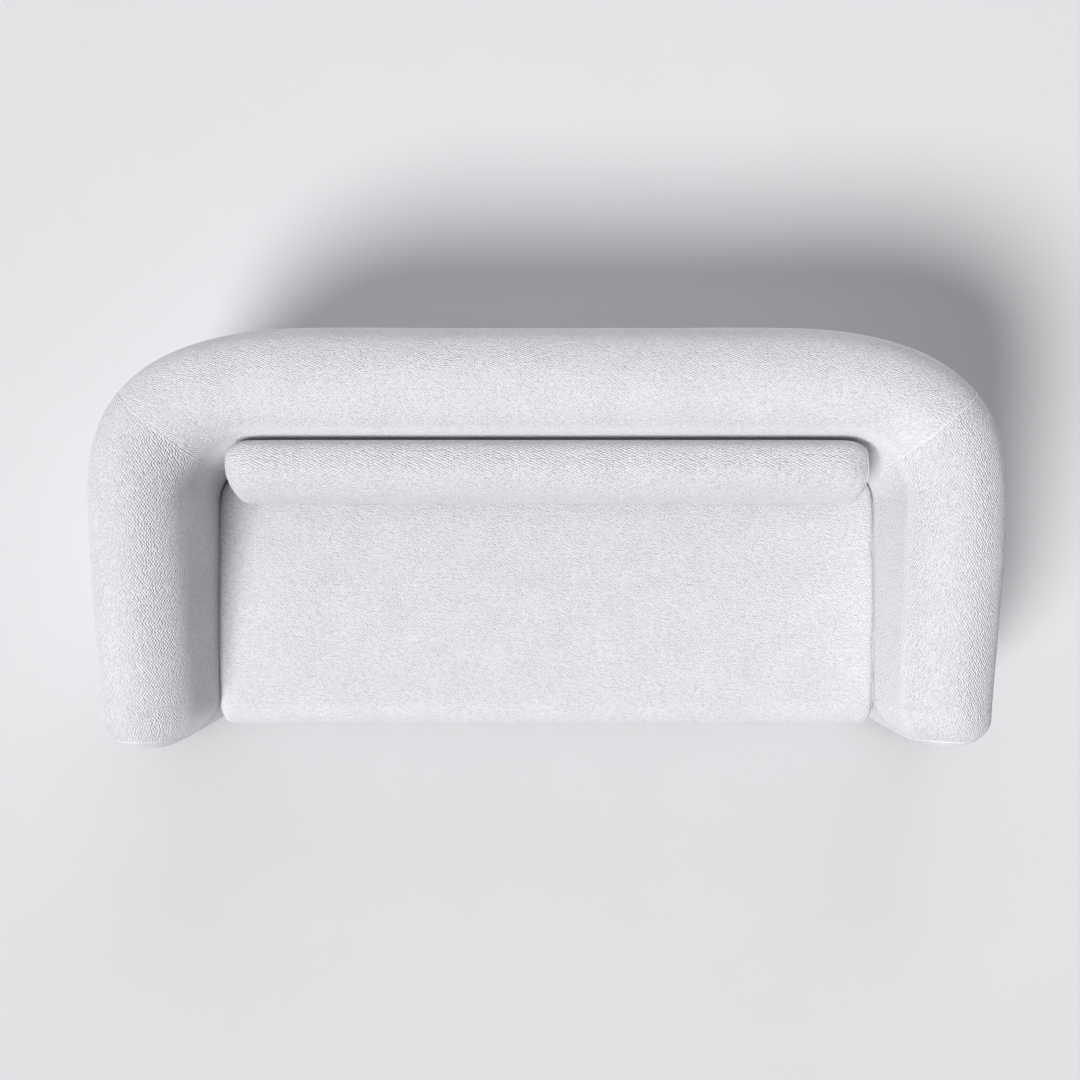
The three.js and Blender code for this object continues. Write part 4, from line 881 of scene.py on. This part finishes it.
def end_seams(piece, section, distance, seam, body, radius, inset=0):
    """A ridge round each end of a cushion, drawn in to the cushion's own surface. With an inset it lies
    further over the rounded edge, towards the end."""
    tree = BVHTree.FromObject(piece, bpy.context.evaluated_depsgraph_get())
    for side, word in SIDES:
        loop = section(np.array([[distance]]), inset, side)[0]
        loop = np.concatenate([loop, loop[:1]])
        size = lengths_along(loop, 0)
        even = np.linspace(0, size[-1], 260)
        ring = np.stack([np.interp(even, size, loop[:, i]) for i in (0, 1)], -1)
        out = side * (seam + inset / 3)
        path = [tree.find_nearest(Vector((out, y, z)))[0] for y, z in ring]
        path = np.array([tuple(p) for p in path])
        path[:, 0] = np.median(path[:, 0])
        seam_cord(f"{body}_seam_{word}", path, (1, 0, 0), radius, body, closed=True)


ZIP_HALF_WIDTH, ZIP_DIP, ZIP_REACH = 0.0098, 0.0022, 0.02


def zip_opening(piece, middle, out, half_length):
    """Sinks the cover behind a zip: points within the tape's width and length, measured in the plane
    of y and z from its middle line, go down to a depth below its face, with soft edges."""
    points = places(piece.data)
    offset = points[:, 1:] - middle
    proud = offset @ out
    aside = np.abs(offset @ np.array([-out[1], out[0]]))
    share = 1 - np.maximum(
        smooth_step(aside, ZIP_HALF_WIDTH, ZIP_HALF_WIDTH + 0.005),
        smooth_step(np.abs(points[:, 0]), half_length, half_length + 0.006),
    )
    share = np.where(np.abs(proud) < ZIP_REACH, share, 0)
    points[:, 1:] -= (share * np.maximum(proud + ZIP_DIP, 0))[:, None] * out
    piece.data.vertices.foreach_set("co", points.ravel())


seat_middle = seat_section(np.array([[SEAT_END]]), 0)[0]
seat_rings = cushion_rings(seat_section, SEAT_END, DRAW_LENGTH, END_SWELL, SEAT_SWELL)
seat_cushion = closed_loft("seat_cushion_wrap", seat_rings, seat_cloth, "seat_cushion")
seat_points = puffed(seat_cushion, SEAT_VOXEL, SEAT_SWELL)
finish_cushion(seat_cushion, seat_points, seat_middle, SEAT_START, SEAT_SEAM, seat_cloth)
seat_zip_low, seat_zip_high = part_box("seat_cushion_zip")
zip_middle = np.array([SEAT_REAR, (seat_zip_low.z + seat_zip_high.z) / 2])
zip_opening(seat_cushion, zip_middle, np.array([1.0, 0.0]), seat_zip_high.x)
cloth_panel(seat_cushion, "seat_cushion_cover")
end_seams(seat_cushion, seat_section, END_SWELL, SEAT_SEAM, "seat_cushion", SEAT_CORD, SEAT_CORD_INSET)
foam_rings = cushion_rings(seat_section, SEAT_END, DRAW_LENGTH, END_SWELL, FOAM_INSET)
foam_pad(closed_loft("seat_cushion_block", foam_rings, foam, "seat_cushion"), "seat_cushion_foam")

# Lumbar cushion. A long bolster of the same bouclé over fibre filling, rounded at both ends, that
# stands on the seat cushion and leans on the back. It has an end panel at each side and a zip behind.

lumbar_cloth = boucle("boucle_lumbar", 0.0134, 0.0070, 0.0048)
LUMBAR_END, LUMBAR_THICKNESS, LUMBAR_HEIGHT = 0.775, 0.136, 0.231 / math.cos(BACK_LEAN)
LUMBAR_POWER, WALL_GAP, LUMBAR_DRAW, LUMBAR_EASE, LUMBAR_SWELL = 2.7, 0.0008, 0.1, 0.072, 0.008
LUMBAR_CORNERS = {1: ((0.034, 0.038), (0.052, 0.034)), -1: ((0.048, 0.064), (0.052, 0.044))}
LUMBAR_PUFF, LUMBAR_VOXEL, LUMBAR_CORD = 0.010, 0.007, 0.0008
LUMBAR_SEAM, LUMBAR_START = LUMBAR_END - LUMBAR_SWELL, 90


def seat_top(y):
    """Height of the seat cushion's crowned top in the middle of its length."""
    low, high = SEAT_FRONT + TOP_RADIUS, SEAT_REAR - REAR_RADIUS
    return SEAT_HEIGHT + CROWN * (1 - np.clip(2 * (y - low) / (high - low) - 1, -1, 1) ** 2)


ROUND = np.arange(120) * 2 * math.pi / 120
ZIP_FACET = np.radians([202.5, 217.5])


def lumbar_section(distance, inset, side=1, turns=ROUND):
    """A squared ellipse that leans with the back, drawn in towards its ends, more at the left one (side
    -1) than at the right, and cut at the seat."""
    front, rear = LUMBAR_CORNERS[side]
    near = WALL_GAP + corner_draw(distance, *rear, inset) + inset
    far = WALL_GAP + LUMBAR_THICKNESS - corner_draw(distance, *front, inset) - inset
    top = LUMBAR_HEIGHT * (1 - LUMBAR_DRAW * np.maximum(1 - distance / LUMBAR_EASE, 0) ** 2) - inset
    a, b = (far - near) / 2, (top - inset) / 2
    turn = turns[None, :]
    bend = [np.sign(f) * np.abs(f) ** (2 / LUMBAR_POWER) for f in (np.cos(turn), np.sin(turn))]
    across, up = (far + near) / 2 + a * bend[0], top - b + b * bend[1]
    y = BACK_WALL + math.sin(BACK_LEAN) * up - math.cos(BACK_LEAN) * across
    z = SEAT_HEIGHT + math.cos(BACK_LEAN) * up + math.sin(BACK_LEAN) * across
    return np.stack([y, np.maximum(z, seat_top(y) + SKIN_GAP + inset)], -1)


lumbar_middle = lumbar_section(np.array([[LUMBAR_END]]), 0)[0]
lumbar_rings = cushion_rings(lumbar_section, LUMBAR_END, LUMBAR_EASE, LUMBAR_SWELL, LUMBAR_PUFF)
lumbar_cushion = closed_loft("lumbar_cushion_wrap", lumbar_rings, lumbar_cloth, "lumbar_cushion")
lumbar_points = puffed(lumbar_cushion, LUMBAR_VOXEL, LUMBAR_PUFF)
finish_cushion(lumbar_cushion, lumbar_points, lumbar_middle, LUMBAR_START, LUMBAR_SEAM, lumbar_cloth)
facet = lumbar_section(np.array([[LUMBAR_END]]), 0, turns=ZIP_FACET)[0]
facet_up = (facet[0] - facet[1]) / np.linalg.norm(facet[0] - facet[1])
lumbar_zip_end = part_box("lumbar_cushion_zip")[1].x
zip_opening(lumbar_cushion, facet.mean(0), np.array([facet_up[1], -facet_up[0]]), lumbar_zip_end)
cloth_panel(lumbar_cushion, "lumbar_cushion_cover")
end_seams(lumbar_cushion, lumbar_section, LUMBAR_SWELL, LUMBAR_SEAM, "lumbar_cushion", LUMBAR_CORD)
filling_rings = cushion_rings(lumbar_section, LUMBAR_END, LUMBAR_EASE, LUMBAR_SWELL, FOAM_INSET)
foam_pad(closed_loft("lumbar_cushion_core", filling_rings, foam, "lumbar_cushion"), "lumbar_cushion_filling")

# Zips. Woven polyester tapes with coil teeth in the rear of both cushions, and a steel slider with a
# small pull at the closed end of each.

zip_tape = Finish("zip_tape", Roughness=0.7)
tape_wave = {"Vector": zip_tape.place(), "Scale": 130, "Detail": 0}
tape_teeth = zip_tape.node("TexWave", tape_wave, bands_direction="X").outputs[1]
zip_tape.colour(tape_teeth, (0.2, (0.62, 0.62, 0.64)), (0.8, (0.78, 0.78, 0.80)))
zip_tape.relief(tape_teeth, 0.0005)
zip_tape.coat("seat_cushion_zip", "lumbar_cushion_zip")
steel.coat("seat_zip_slider", "lumbar_zip_slider")

# Studio. A wide pale floor, a soft key light from the front left, a high and a low weak light from
# behind, a faint even sky, and a camera high above the sofa that looks straight down.

floor_finish = Finish("pale_floor", Roughness=0.9)
floor_tone = floor_finish.noise(floor_finish.place(), 3, 2)
floor_finish.colour(floor_tone, (0.0, (0.69, 0.69, 0.70)), (1.0, (0.71, 0.71, 0.72)))
FLOOR_HALF = 12.0
corners = [(x * FLOOR_HALF, y * FLOOR_HALF, 0) for x, y in ((-1, -1), (1, -1), (1, 1), (-1, 1))]
floor_mesh = bpy.data.meshes.new("floor")
floor_mesh.from_pydata(corners, [], [(0, 1, 2, 3)])
floor_mesh.materials.append(floor_finish.material)
add_object("floor", floor_mesh)


def sun(name, azimuth, elevation, strength, width, colour):
    """A far light from an azimuth (degrees from +x towards +y) and an elevation."""
    light = bpy.data.lights.new(name, "SUN")
    light.energy, light.angle, light.color = strength, math.radians(width), colour
    a, e = math.radians(azimuth), math.radians(elevation)
    towards = Vector((math.cos(a) * math.cos(e), math.sin(a) * math.cos(e), math.sin(e)))
    add_object(name, light).rotation_euler = towards.to_track_quat("Z", "Y").to_euler()


sun("key_light", 232, 50, 3.05, 24, (1.0, 0.995, 1.0))
sun("top_light", 90, 65, 0.59, 60, (0.99, 0.985, 1.0))
sun("back_light", 85, 25, 0.68, 40, (0.95, 0.96, 1.0))
world = bpy.data.worlds.new("studio")
world.use_nodes = True
sky = world.node_tree.nodes["Background"]
sky.inputs["Color"].default_value = (0.94, 0.94, 1.0, 1)
sky.inputs["Strength"].default_value = 0.09
bpy.context.scene.world = world

camera_data = bpy.data.cameras.new("overhead")
camera_data.lens, camera_data.sensor_width = 50, 36
camera_data.clip_end = 50
camera = add_object("overhead", camera_data)
camera.location = (-0.0167, 0.010, 4.219)
bpy.context.scene.camera = camera
bpy.context.scene.view_settings.view_transform = "Standard"
